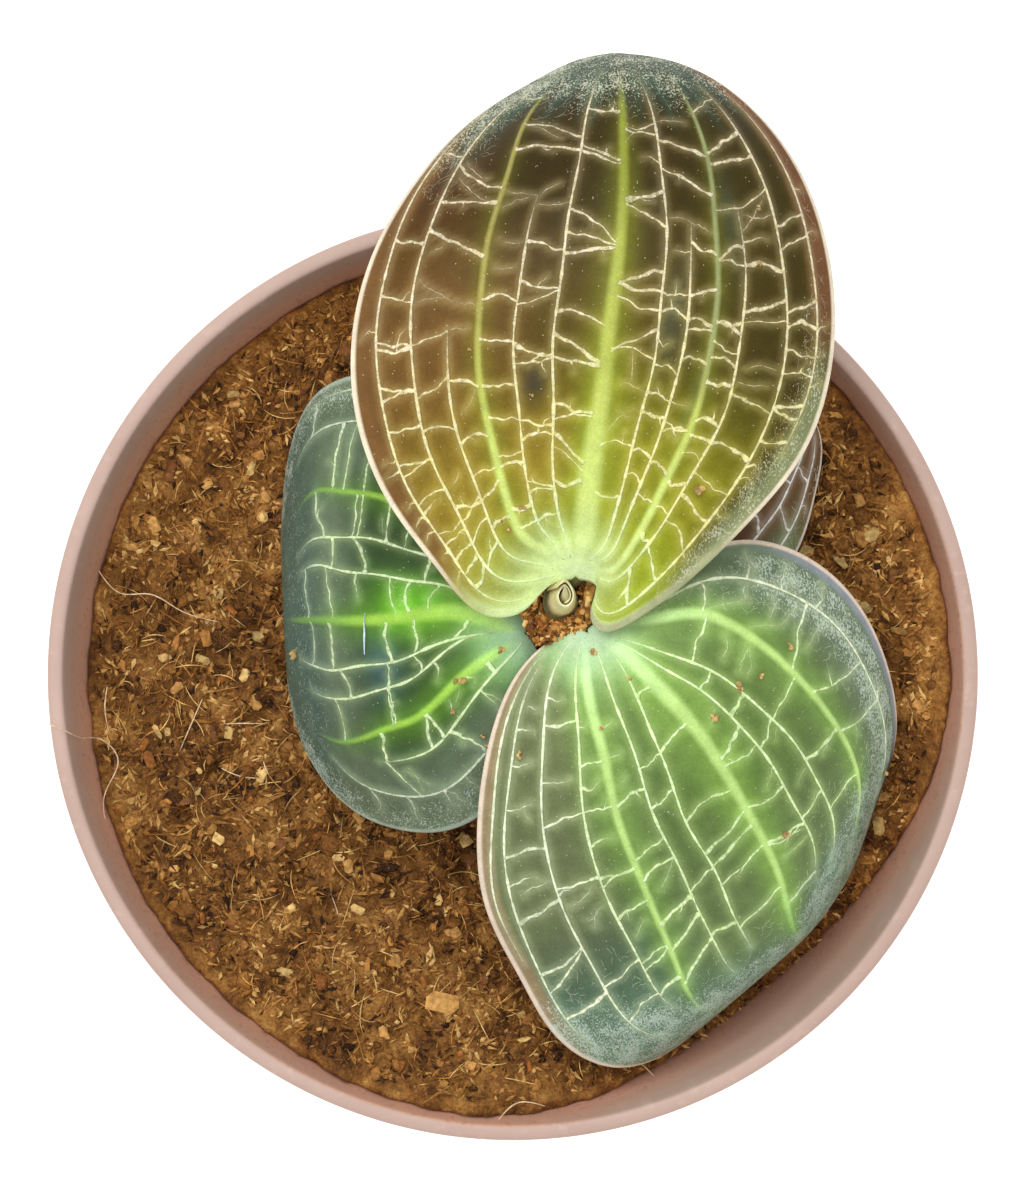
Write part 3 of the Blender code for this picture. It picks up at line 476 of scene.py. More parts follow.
LEAF_BACK = {
    "midrib": [
        (12.5, 10, 105), (17, 14, 106.5), (22, 18.5, 106), (27, 24, 104), (31.5, 28.5, 100.5),
        (34.5, 32.5, 96),
    ],
    "left": [
        (12.5, 10, 105), (10.5, 13, 105), (11.5, 19.5, 104.5), (16, 27, 103), (22.5, 32.5, 101),
        (29, 34.5, 98.5), (34.5, 32.5, 96),
    ],
    "right": [
        (12.5, 10, 105), (15, 6.5, 104.5), (21.5, 4.5, 103), (28.5, 8.5, 100.5), (33.5, 14.5, 98.5),
        (36, 22, 97), (36.5, 28.5, 96), (34.5, 32.5, 96),
    ],
    "veins": {
        "A": (-0.75,) * 5, "B": (-0.48,) * 5, "C": (-0.24,) * 5, "M": (0, 0, 0, 0, 0), "G": (0.26,) * 5,
        "K": (0.5,) * 5, "H": (0.77,) * 5,
    },
    "spans": {
        "A": (0.1, 0.9), "B": (0.08, 0.9), "C": (0.08, 0.9), "M": (0.02, 0.95), "G": (0.08, 0.9),
        "K": (0.08, 0.9), "H": (0.1, 0.9),
    },
    "main": {"M": 0.5},
    "rungs": {
        "<A": ((0.3, 0.32), (0.5, 0.5), (0.7, 0.68)),
        "AB": ((0.3, 0.3), (0.5, 0.52), (0.7, 0.68)),
        "BC": ((0.25, 0.27), (0.45, 0.43), (0.6, 0.62)),
        "CM": ((0.3, 0.28), (0.5, 0.48), (0.68, 0.66)),
        "MG": ((0.25, 0.27), (0.42, 0.44), (0.6, 0.6), (0.75, 0.77)),
        "GK": ((0.33, 0.35), (0.52, 0.5), (0.7, 0.7)),
        "KH": ((0.3, 0.32), (0.45, 0.47), (0.62, 0.6), (0.76, 0.75)),
        "H>": ((0.3, 0.3), (0.42, 0.43), (0.55, 0.56), (0.68, 0.7)),
    },
    "links": (),
    "specks": (),
    "sparkling": ((0.3, 0.8, 0.75, 0.95, 60),),
    "level": 0,
    "lift": (1.4, 1.4, 1.4, 1.4, 1.4),
    "facing": 1,
}


def srgb(red, green, blue):
    """A linear colour from one given in 8-bit steps."""
    value = np.array((red, green, blue)) / 255.0
    return np.where(value <= 0.04045, value / 12.92, ((value + 0.055) / 1.055) ** 2.4)


def eased(part):
    """A share of the way from 0 to 1 that starts and ends gently."""
    return part * part * (3 - 2 * part)


def smooth(start, end, value):
    """A mask that is 0 up to start, 1 from end on, and eases between them."""
    return eased(np.clip((value - start) / (end - start), 0.0, 1.0))


def spot(along, across, centre, size):
    """A soft round mask on a blade."""
    return np.exp(-(((along - centre[0]) / size[0]) ** 2) - ((across - centre[1]) / size[1]) ** 2)


def tinted(colours, tone, mask):
    """The colours moved towards a tone by a mask."""
    return colours + (tone - colours) * np.clip(mask, 0.0, 1.0)[..., None]


def layered(places, colour, *layers):
    """A tone for each place: one colour, and over it more colours, each laid on by its mask."""
    tone = np.ones(places.shape + (1,)) * srgb(*colour)
    for colour, mask in layers:
        tone = tinted(tone, srgb(*colour), mask)
    return tone


def all_over(part, tone):
    """One tone for every point of a part."""
    return np.repeat(tone[None], len(part[0]), axis=0)


def unit(vectors):
    """The vectors at a length of one."""
    return vectors / np.maximum(np.linalg.norm(vectors, axis=-1, keepdims=True), 1e-9)


def path_length(points):
    """The length of a path of straight steps."""
    return np.linalg.norm(np.diff(points, axis=0), axis=1).sum()


def noise(points, seed=0):
    """Smooth noise from -1 to 1, from random values at the corners of a unit lattice."""
    base = np.floor(points).astype(np.int64)
    part = eased(points - base)
    total = np.zeros(points.shape[:-1])
    for corner in np.ndindex(2, 2, 2):
        key = (base + corner) @ np.array((374761393, 668265263, 1103515245)) + seed * 7919
        key = (key ^ (key >> 13)) * 1274126177
        value = ((key ^ (key >> 16)) & 0xFFFF) / 32767.5 - 1.0
        total += np.prod(np.where(np.array(corner, bool), part, 1 - part), axis=-1) * value
    return total


def mesh_object(name, points, triangles, finish, slot, node, flat=False, body="root", **values):
    """A piece from points in millimetres, riding on its body.

    Each further value has a colour or a number for each point.
    """
    mesh = bpy.data.meshes.new(name)
    mesh.vertices.add(len(points))
    mesh.vertices.foreach_set("co", (np.asarray(points, float) * MM).astype(np.float32).ravel())
    triangles = np.asarray(triangles, np.int32)
    mesh.loops.add(triangles.size)
    mesh.loops.foreach_set("vertex_index", triangles.ravel())
    mesh.polygons.add(len(triangles))
    mesh.polygons.foreach_set("loop_start", np.arange(0, triangles.size, 3, dtype=np.int32))
    mesh.update(calc_edges=True)
    mesh.validate()
    if flat:
        mesh.shade_flat()
    else:
        mesh.shade_smooth()
    for key, value in values.items():
        value = np.asarray(value, np.float32)
        if value.ndim == 2:
            layer = mesh.attributes.new(key, "FLOAT_COLOR", "POINT")
            opaque = np.hstack([value, np.ones((len(value), 1), np.float32)])
            layer.data.foreach_set("color", opaque.ravel())
        else:
            layer = mesh.attributes.new(key, "FLOAT", "POINT")
            layer.data.foreach_set("value", value.ravel())
    mesh.materials.append(finish)
    made = bpy.data.objects.new(name, mesh)
    bpy.context.scene.collection.objects.link(made)
    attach(made, body)
    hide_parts(node)
    return made


def facing_out(points, triangles):
    """The points and triangles of a closed body, the triangles turned over if they face inwards."""
    volume = np.linalg.det(points[triangles] - points.mean(0)).sum()
    return points, triangles if volume > 0 else triangles[:, ::-1]


def split_squares(a, b, c, d):
    """Two triangles for each four corners."""
    halves = (np.stack([a, b, c], -1), np.stack([a, c, d], -1))
    return np.concatenate([half.reshape(-1, 3) for half in halves])


def loft(sections):
    """Points and triangles of a closed skin over closed sections, with a fan over each end."""
    count, size = sections.shape[:2]
    points = np.vstack([sections.reshape(-1, 3), sections[0].mean(0), sections[-1].mean(0)])
    here = np.arange(size)
    after = (here + 1) % size
    rows = np.arange(count - 1)[:, None] * size
    sides = split_squares(rows + here, rows + after, rows + size + after, rows + size + here)
    last = (count - 1) * size
    first_fan = np.stack([np.full(size, count * size), after, here], -1)
    last_fan = np.stack([np.full(size, count * size + 1), last + here, last + after], -1)
    return facing_out(points, np.vstack([sides, first_fan, last_fan]))


def merged(parts):
    """One list of points and one of triangles from several."""
    points, triangles, start = [], [], 0
    for some_points, some_triangles in parts:
        points.append(some_points)
        triangles.append(some_triangles + start)
        start += len(some_points)
    return np.vstack(points), np.vstack(triangles)


def full_turn(sides):
    """The angles of that many places round a circle."""
    return 2 * math.pi * np.arange(sides) / sides


def tube(path, radii, sides):
    """A closed tube of changing radius along a path."""
    path = np.array(path, float)
    ahead = unit(np.gradient(path, axis=0))
    side = np.cross(ahead[0], (0.31, 0.95, 0.1))
    angles = full_turn(sides)
    sections = []
    for centre, direction, radius in zip(path, ahead, radii):
        side = unit(side - direction * np.dot(side, direction))
        other = np.cross(direction, side)
        ring = np.cos(angles)[:, None] * side + np.sin(angles)[:, None] * other
        sections.append(centre + radius * ring)
    return loft(np.array(sections))


def turned(profile, sides, centre=(0.0, 0.0)):
    """Rings round an upright axis, one for each (radius, height) of the profile."""
    angles = full_turn(sides)
    profile = np.array(profile, float)
    x = centre[0] + profile[:, :1] * np.cos(angles)
    y = centre[1] + profile[:, :1] * np.sin(angles)
    return np.stack([x, y, np.broadcast_to(profile[:, 1:], x.shape)], -1)


class Finish:
    """A material in the making. add() makes a node whose inputs are set or linked by name or number."""

    def __init__(self, name, **constants):
        self.material = bpy.data.materials.new(name)
        self.material.use_nodes = True
        self.tree = self.material.node_tree
        self.shader = self.tree.nodes["Principled BSDF"]
        for socket, value in constants.items():
            self.shader.inputs[socket.replace("_", " ")].default_value = value
        self.place = self.add("ShaderNodeTexCoord", {}).outputs["Object"]

    def add(self, kind, inputs, **settings):
        node = self.tree.nodes.new(kind)
        for key, value in settings.items():
            setattr(node, key, value)
        for key, value in inputs.items():
            self.feed(node, key, value)
        return node

    def feed(self, node, key, value):
        if isinstance(value, bpy.types.NodeSocket):
            self.tree.links.new(value, node.inputs[key])
        else:
            node.inputs[key].default_value = value

    def noise(self, scale, detail, stretch=None):
        """Noise of that many cells a metre, drawn out along one axis if a stretch is given."""
        place = self.place
        if stretch:
            place = self.add("ShaderNodeMapping", {"Vector": place, "Scale": stretch}).outputs[0]
        inputs = {"Vector": place, "Scale": scale, "Detail": detail}
        return self.add("ShaderNodeTexNoise", inputs).outputs[0]

    def spread(self, value, low, high, start=0.0, end=1.0):
        """The value with its range low to high stretched to start to end."""
        inputs = {0: value, 1: low, 2: high, 3: start, 4: end}
        return self.add("ShaderNodeMapRange", inputs).outputs[0]

    def mottle(self, scale, detail, start=0.0, end=1.0):
        """Noise whose middle range is stretched to start to end."""
        return self.spread(self.noise(scale, detail), *NOISE_RANGE, start, end)

    def cells(self, scale):
        """Random cells, that many a metre: a colour for each, and the distance from its middle."""
        return self.add("ShaderNodeTexVoronoi", {"Vector": self.place, "Scale": scale}).outputs

    def number(self, operation, first, second):
        return self.add("ShaderNodeMath", {0: first, 1: second}, operation=operation).outputs[0]

    def times(self, first, second):
        return self.number("MULTIPLY", first, second)

    def mix(self, factor, first, second, kind="MIX"):
        def colour(value):
            return value if isinstance(value, bpy.types.NodeSocket) else (*value, 1.0)

        inputs = {0: factor, 6: colour(first), 7: colour(second)}
        return self.add("ShaderNodeMix", inputs, data_type="RGBA", blend_type=kind).outputs[2]

    def shaded(self, colour, shade):
        """The colour, made brighter or darker by a number."""
        shades = self.add("ShaderNodeCombineColor", {0: shade, 1: shade, 2: shade}).outputs[0]
        return self.mix(1.0, colour, shades, "MULTIPLY")

    def value(self, name):
        return self.add("ShaderNodeAttribute", {}, attribute_name=name).outputs["Fac"]

    def colour(self, name):
        return self.add("ShaderNodeAttribute", {}, attribute_name=name).outputs["Color"]

    def bump(self, height, depth, strength, under=None):
        inputs = {"Height": height, "Distance": depth * MM, "Strength": strength}
        if under:
            inputs["Normal"] = under
        return self.add("ShaderNodeBump", inputs).outputs[0]

    def done(self, **links):
        for socket, value in links.items():
            self.feed(self.shader, socket.replace("_", " "), value)
        return self.material


def grey(value):
    return (value, value, value)


def leaf_finish(name, roughness, glint):
    """A leaf's skin: mottled, with sugary lines, painted sparkle in ragged pale patches and specks, and a
    faint satin.
    """
    made = Finish(name, Specular_IOR_Level=0.12)
    sparkle = made.value("sparkle")
    shade = made.times(made.mottle(420, 4, 0.88, 1.12), made.mottle(3800, 2, 0.91, 1.09))
    base = made.shaded(made.colour("tone"), shade)
    sugar = made.times(made.spread(made.noise(5200, 2), 0.44, 0.6), made.value("line"))
    base = made.mix(made.times(sugar, 0.72), base, grey(0.97))
    # Painted sparkle: ragged pale patches towards the glint colour, then pale specks, where the sparkle
    # mask is high.
    patches = made.times(made.noise(480, 3), 0.5)
    ragged = made.number("ADD", made.noise(5400, 3, (1.0, 0.55, 0.75)), patches)
    cover = made.spread(made.number("ADD", ragged, made.times(sparkle, 0.3)), 1.0, 1.1)
    base = made.mix(made.times(cover, 0.56), base, glint)
    cells = made.cells(5200)
    chance = made.add("ShaderNodeSeparateColor", {0: cells["Color"]}).outputs[0]
    lit = made.number("GREATER_THAN", chance, made.number("SUBTRACT", 0.99, made.times(sparkle, 0.17)))
    speck = made.times(lit, made.spread(cells["Distance"], 0.42, 0.2))
    base = made.mix(made.times(speck, 0.6), base, srgb(252, 240, 206))
    skin = made.bump(made.noise(2600, 2), 0.04, 0.4)
    skin = made.bump(made.number("ADD", speck, cover), 0.05, 0.5, skin)
    rough = made.mottle(900, 3, roughness - 0.06, roughness + 0.08)
    return made.done(Base_Color=base, Roughness=rough, Normal=skin)


def flesh_finish(name, pale, dark):
    """A stalk's or stem's flesh: lengthwise streaks and small darker flecks."""
    made = Finish(name, Specular_IOR_Level=0.4)
    streaks = made.spread(made.noise(900, 3, (1.0, 1.0, 0.25)), 0.35, 0.65)
    flecks = made.spread(made.cells(2400)["Distance"], 0.3, 0.12, 0.0, 0.5)
    base = made.mix(flecks, made.mix(streaks, pale, dark), tuple(0.5 * c for c in dark))
    rough = made.mottle(700, 2, 0.38, 0.55)
    return made.done(Base_Color=base, Roughness=rough, Normal=made.bump(made.noise(1800, 3), 0.06, 0.6))


def litter_finish(name, grain=2600.0, depth=0.12, rough=0.86):
    """Coir and bark: each crumb's own colour, broken by fine grain, with painted light and shade from the
    grain's bumps, darker in their hollows and paler on their tops, and pale painted glints.
    """
    made = Finish(name, Specular_IOR_Level=0.22)
    grains = made.noise(grain, 4)
    # Painted light and shade: the colour is darker where the grain's bump is low and paler where it is
    # high.
    base = made.shaded(made.colour("tone"), made.spread(grains, *NOISE_RANGE, 0.55, 1.35))
    # Painted glints: pale flecks laid by noise.
    glints = made.spread(made.noise(grain * 2, 1), 0.66, 0.74, 0.0, 0.35)
    base = made.mix(glints, base, srgb(214, 172, 118))
    roughness = made.spread(grains, *NOISE_RANGE, rough - 0.12, rough + 0.08)
    return made.done(Base_Color=base, Roughness=roughness, Normal=made.bump(grains, depth, 0.8))


def plastic_finish(name):
    """Thin pot plastic: faint cloudy colour, fine scuffs, dark dirt that lies towards the soil, and
    painted light: the inner wall painted brighter and rosier deep down and near the soil.
    """
    made = Finish(name, Specular_IOR_Level=0.4)
    near_soil = made.value("dust_and_glow")
    base = made.mix(made.mottle(60, 4), srgb(188, 158, 144), srgb(198, 169, 155))
    # Painted light: deep down, the inner wall is brightened and warmed against its shade.
    base = made.mix(made.times(made.value("inner_glow"), 0.85), base, srgb(244, 196, 174))
    scuffs = made.spread(made.noise(700, 5, (1.0, 1.0, 0.2)), 0.58, 0.72, 0.0, 0.35)
    base = made.mix(scuffs, base, srgb(214, 188, 176))
    dust_and_glow = made.times(made.spread(made.noise(1500, 4), 0.55, 0.7), near_soil)
    base = made.mix(made.times(dust_and_glow, 0.75), base, srgb(120, 76, 48))
    # Painted light: near the soil the wall is brightened and warmed against its shade.
    base = made.mix(made.times(near_soil, 0.6), base, srgb(226, 164, 132))
    rough = made.mottle(300, 4, 0.36, 0.52)
    return made.done(Base_Color=base, Roughness=rough, Normal=made.bump(made.noise(1100, 3), 0.03, 0.5))


def curve_through(points, places):
    """A natural cubic spline through the points, read at places from 0, its start, to 1, its end."""
    p = np.array(points, float)
    knots = np.concatenate([[0.0], np.cumsum(np.linalg.norm(np.diff(p, axis=0), axis=1))])
    knots /= knots[-1]
    steps = np.diff(knots)
    count = len(knots)
    left = np.zeros((count, count))
    right = np.zeros((count, 3))
    left[0, 0] = left[-1, -1] = 1.0
    for i in range(1, count - 1):
        left[i, i - 1 : i + 2] = steps[i - 1], 2 * (steps[i - 1] + steps[i]), steps[i]
        right[i] = 6 * ((p[i + 1] - p[i]) / steps[i] - (p[i] - p[i - 1]) / steps[i - 1])
    bend = np.linalg.solve(left, right)
    places = np.clip(np.asarray(places, float), 0.0, 1.0)
    i = np.clip(np.searchsorted(knots, places, side="right") - 1, 0, count - 2)
    step = steps[i][..., None]
    after = (places - knots[i])[..., None] / step
    before = 1.0 - after
    curved = (before**3 - before) * bend[i] + (after**3 - after) * bend[i + 1]
    return before * p[i] + after * p[i + 1] + curved * step**2 / 6


def blade_surface(leaf, along, across):
    """Points of the blade's middle, and how far its edge lies from the midrib there."""
    midrib = curve_through(leaf["midrib"], along)
    left = curve_through(leaf["left"], along)
    right = curve_through(leaf["right"], along)
    level = unit(right - left)
    turn = np.asarray(across)[..., None]
    edge = np.where(turn < 0, left, right)
    reach = np.linalg.norm(edge - midrib, axis=-1, keepdims=True)
    handle = midrib + np.sign(turn) * level * reach / 2
    out = np.abs(turn)
    return (1 - out) ** 2 * midrib + 2 * out * (1 - out) * handle + out**2 * edge, reach[..., 0]


def vein_place(leaf, vein, along):
    """Where a vein, or one of the edges, runs across the blade: eased between five places along it."""
    along = np.asarray(along, float)
    if vein in EDGES:
        return np.full_like(along, EDGES[vein])
    places = leaf["veins"][vein]
    shifts = (-0.08, -0.04, 0.0, 0.04, 0.08)
    eased = sum(np.interp(along + shift, STATIONS, places) for shift in shifts) / len(shifts)
    return eased + 0.004 * np.sin(31 * along + 40 * places[2]) * (vein != "M")


def vein_girth(leaf, vein, along):
    """Half the width of a main vein, and its strength, which fades in at its base and out at its tip."""
    start, end = leaf["spans"][vein]
    force = smooth(start - 0.02, start + 0.08, along) * smooth(end + 0.01, end - 0.16, along)
    stops = sorted(MIDRIB_WIDTH)
    width = np.interp(along, stops, [MIDRIB_WIDTH[stop] for stop in stops])
    return leaf["main"][vein] * width * (0.3 + 0.7 * force), force


def vein_core(leaf, along, across):
    """How far a place lies in a main vein, from 0 beyond its soft edge to 1 along its middle."""
    reach = blade_surface(leaf, along, across)[1]
    core = np.zeros_like(reach)
    for vein in leaf["main"]:
        girth, force = vein_girth(leaf, vein, along)
        away = np.abs(across - vein_place(leaf, vein, along)) * reach
        core = np.maximum(core, force * smooth(girth * 1.5 + 0.16, girth * 0.35, away))
    return core


def pole_nearness(leaf, along, across, size):
    """How near a place is to the point that the veins spread from, from 0 to 1."""
    away = blade_surface(leaf, along, across)[0][..., :2] - np.array(leaf["midrib"][0][:2])
    return np.exp(-((np.linalg.norm(away, axis=-1) / size) ** 2))


def blade_face(leaf, along, across):
    """The blade's upper face with its ridges: points, unit normals, and the steps along and across it."""
    point, reach = blade_surface(leaf, along, across)
    step_along, step_across = 0.003, 0.01
    low, high = np.clip(along - step_along, 0, 1), np.clip(along + step_along, 0, 1)
    ahead = blade_surface(leaf, high, across)[0] - blade_surface(leaf, low, across)[0]
    ahead = ahead / (high - low)[..., None]
    low, high = np.clip(across - step_across, -1, 1), np.clip(across + step_across, -1, 1)
    aside = blade_surface(leaf, along, high)[0] - blade_surface(leaf, along, low)[0]
    aside = aside / (high - low)[..., None]
    normal = unit(np.cross(aside, ahead)) * leaf["facing"]
    upright = smooth(0.03, 0.0, along) + smooth(0.97, 1.0, along)
    normal = unit(normal * (1 - upright[..., None]) + upright[..., None] * UP)
    ridge = np.zeros_like(reach)
    for vein, (start, end) in leaf["spans"].items():
        away = np.abs(across - vein_place(leaf, vein, along)) * reach
        if vein in leaf["main"]:
            girth, there = vein_girth(leaf, vein, along)
            rise, width = MAIN_RISE * (0.45 + 0.55 * leaf["main"][vein]), 1.15 * girth + 0.1
        else:
            rise, width = VEIN_RISE, VEIN_WIDTH
            there = smooth(start - 0.03, start + 0.06, along) * smooth(end + 0.03, end - 0.08, along)
        ridge = np.maximum(ridge, rise * there * np.exp(-((away / width) ** 2)))
    fade = np.clip(6 * along * (1 - along), 0, 1)
    point = point + normal * ((ridge - CELL_DIP) * fade)[..., None]
    return point, normal, ahead, aside


def lifted(leaf, along, tone):
    """A tone made brighter or darker along the blade: painted light, which evens out how much the lamp
    lights each part of it.
    """
    return tone * np.interp(along, STATIONS, leaf["lift"])[..., None]


def nearness(leaf, along, across, size):
    """How near a place is to the midrib and the main veins, from 0 to 1, by each one's strength."""
    reach = blade_surface(leaf, along, across)[1]
    near = np.zeros_like(reach)
    for vein, strength in leaf["main"].items():
        taper = np.interp(along, (0.0, 0.2, 0.5, 1.0), (1.9, 1.7, 1.15, 0.5))
        width = size * (0.45 + 0.55 * strength) * taper
        away = np.abs(across - vein_place(leaf, vein, along)) * reach / width
        glow = 0.75 * np.exp(-(away**2)) + 0.25 * np.exp(-0.8 * away)
        near = np.maximum(near, (0.12 + 0.88 * strength) * glow)
    return near


def vein_rays(leaf, along, across):
    """How near a place is to any vein of the blade, from 0 between the veins to 1 along one."""
    reach = blade_surface(leaf, along, across)[1]
    near = np.zeros_like(reach)
    for vein in leaf["veins"]:
        away = np.abs(across - vein_place(leaf, vein, along)) * reach
        near = np.maximum(near, np.exp(-((away / VEIN_WIDTH) ** 2)))
    return near


def paint_top(leaf, s, t):
    """The top leaf: bronze on its left, olive on its right and down to a yellow-green and minty base,
    with painted sheen and sparkle at its tip, its upper left corner and its lower right margin.
    """
    near = nearness(leaf, s, t, 1.8)
    base = pole_nearness(leaf, s, t, 6.6)
    rays = vein_rays(leaf, s, t)
    edge = np.abs(t)
    # Painted sheen: the tip and the upper left corner, where the blade turns down, are laid in teal-grey,
    # and the lower right margin, where it curls under, in a silvery grey-green.
    tip = smooth(0.78, 0.9, s + 0.02 * np.sin(23 * t) + 0.015 * np.sin(61 * t)) * (1 - 0.45 * near)
    corner = 0.9 * smooth(0.66, 0.82, s) * smooth(-0.6, -0.85, t)
    minty = smooth(0.16, 0.72, base) * smooth(0.8, 0.25, t * smooth(0.0, 0.05, s))
    mint_rays = 0.8 * smooth(0.17, 0.06, s) * smooth(-0.1, -0.4, t) * (0.55 + 0.45 * rays)
    margin_sheen = 0.8 * smooth(0.87, 0.95, t) * smooth(0.54, 0.42, s) * smooth(0.12, 0.25, s)
    tone = layered(
        s,
        (70, 56, 18),
        ((94, 62, 26), smooth(-0.45, -0.85, t) * smooth(0.86, 0.7, s)),
        ((76, 64, 22), smooth(0.15, 0.5, t) * smooth(0.88, 0.7, s)),
        ((96, 78, 24), smooth(0.68, 0.46, s)),
        ((126, 90, 40), smooth(0.68, 0.46, s) * smooth(-0.15, -0.6, t)),
        ((80, 68, 22), smooth(0.72, 0.5, s) * smooth(0.1, 0.35, t)),
        ((158, 136, 44), smooth(0.44, 0.2, s) * smooth(0.1, -0.15, t)),
        ((150, 148, 34), smooth(0.46, 0.22, s) * smooth(-0.15, 0.1, t) * smooth(0.95, 0.75, t)),
        ((158, 164, 48), smooth(0.24, 0.1, s)),
        ((156, 170, 30), smooth(0.25, 0.1, s) * smooth(0.3, 0.55, t)),
        ((66, 64, 56), 0.8 * spot(s, t, (0.36, -0.28), (0.03, 0.055))),
        ((98, 108, 84), 0.5 * spot(s, t, (0.47, 0.25), (0.07, 0.045))),
        ((88, 100, 76), 0.5 * spot(s, t, (0.64, 0.5), (0.08, 0.05))),
        ((104, 116, 84), 0.45 * spot(s, t, (0.36, 0.44), (0.06, 0.03))),
        ((150, 152, 50), 0.85 * near * smooth(0.95, 0.55, s)),
        ((172, 188, 52), near**1.9 * smooth(0.52, 0.24, s)),
        ((74, 98, 78), tip + corner),
        ((124, 84, 52), smooth(0.84, 0.92, t) * smooth(0.46, 0.58, s) * smooth(0.95, 0.85, s)),
        ((146, 156, 108), margin_sheen),
        ((126, 90, 48), smooth(-0.86, -0.93, t) * smooth(0.84, 0.7, s) * smooth(0.1, 0.25, s)),
        ((202, 224, 150), mint_rays),
        ((206, 232, 146), minty * (0.45 + 0.55 * rays)),
        ((210, 230, 174), base**3 * (0.6 + 0.4 * rays)),
        ((206, 226, 160), smooth(0.935, 0.97, edge) * smooth(0.2, 0.08, s)),
        ((246, 232, 204), smooth(0.98, 0.992, edge) * smooth(0.12, 0.24, s)),
        ((172, 176, 132), smooth(0.95, 0.972, t) * smooth(0.34, 0.22, s)),
    )
    # Painted sparkle: the tip, the lower right margin and the upper left corner.
    rim_sparkle = 0.7 * smooth(0.8, 0.9, t) * smooth(0.58, 0.48, s) * smooth(0.08, 0.2, s)
    corner_sparkle = 0.8 * smooth(0.64, 0.76, s) * smooth(-0.7, -0.85, t)
    sparkle = (0.8 * smooth(0.78, 0.88, s) + rim_sparkle + corner_sparkle) * smooth(0.99, 0.975, edge)
    main = layered(
        s,
        (196, 206, 96),
        ((186, 176, 96), smooth(0.1, 0.3, edge) * smooth(0.3, 0.55, s) * smooth(0.95, 0.75, s)),
        ((164, 172, 66), smooth(0.5, 0.75, s) * smooth(0.3, 0.1, edge)),
        ((168, 182, 124), 0.8 * smooth(0.2, 0.4, t) * smooth(0.3, 0.5, s)),
        ((216, 234, 126), smooth(0.42, 0.2, s)),
        ((222, 244, 168), base),
        ((128, 146, 84), smooth(0.8, 0.9, s)),
    )
    line = layered(
        s,
        (244, 224, 164),
        ((246, 236, 140), smooth(0.55, 0.25, s) + 0.4 * smooth(0.0, 0.3, t) * smooth(0.75, 0.4, s)),
        ((228, 244, 160), smooth(0.22, 0.1, s) + base),
        ((176, 182, 132), smooth(0.8, 0.9, s)),
    )
    line = tinted(line, main, 0.6 * near**1.5)
    return tone, np.clip(sparkle, 0, 1), line, main


def paint_front(leaf, s, t):
    """The front leaf: green between its main veins, greyer at its left, teal at its tip, with painted
    sparkle at its tip and along its right side, and a band of painted shade inside its right margin near
    the tip.
    """
    near = nearness(leaf, s, t, 2.6)
    base = pole_nearness(leaf, s, t, 5.6)
    edge = np.abs(t)
    start = np.interp(t, (-1, -0.75, -0.45, 0, 0.4, 1), (0.5, 0.57, 0.66, 0.74, 0.62, 0.56))
    between = 0.85 * smooth(0.6, 0.35, s) * smooth(-0.45, -0.15, t) * smooth(0.55, 0.3, t)
    tone = layered(
        s,
        (104, 124, 76),
        ((112, 122, 82), smooth(-0.48, -0.68, t) * smooth(0.75, 0.55, s)),
        ((84, 106, 82), smooth(0.42, 0.6, s) * smooth(-0.3, -0.55, t)),
        ((112, 130, 104), smooth(0.58, 0.8, t) * 0.9),
        ((104, 130, 66), between),
        ((146, 190, 84), near * smooth(1.0, 0.7, s)),
        ((104, 132, 108), smooth(start - 0.03, start + 0.13, s) * (1 - 0.6 * near)),
        ((144, 126, 92), smooth(-0.935, -0.955, t) * smooth(0.7, 0.55, s) * smooth(0.04, 0.12, s)),
        ((136, 142, 150), smooth(0.945, 0.965, t) * smooth(0.22, 0.36, s) * smooth(0.9, 0.75, s)),
        ((152, 194, 112), smooth(0.1, 0.7, base)),
        ((178, 206, 170), base**1.8),
        ((222, 204, 184), smooth(0.98, 0.992, edge) * smooth(0.95, 0.8, s) * smooth(0.02, 0.08, s)),
        # Painted shade: a dark band just inside the right margin near the tip.
        ((58, 64, 58), smooth(0.94, 0.97, t) * smooth(0.62, 0.7, s) * smooth(0.9, 0.82, s)),
    )
    # Painted sparkle: the tip and the right side.
    sparkle = 1.12 * smooth(start, start + 0.12, s) + 0.95 * smooth(0.68, 0.8, t) * smooth(0.18, 0.3, s)
    sparkle = (sparkle + 0.45 * smooth(0.5, 0.62, s) * smooth(0.3, 0.5, t)) * smooth(0.96, 0.93, t)
    main = layered(
        s,
        (188, 222, 130),
        ((180, 218, 138), smooth(0.65, 0.8, t)),
        ((136, 184, 98), smooth(0.6, 0.8, s)),
        ((196, 236, 150), smooth(0.25, 0.1, s)),
        ((206, 240, 190), base**1.5),
    )
    line = layered(
        s,
        (216, 244, 158),
        ((232, 242, 194), smooth(-0.5, -0.7, t) + smooth(0.6, 0.8, t)),
        ((206, 226, 190), smooth(0.62, 0.74, s)),
    )
    line = tinted(line, main, 0.6 * near**1.5)
    return tone, np.clip(sparkle, 0, 1), line, main


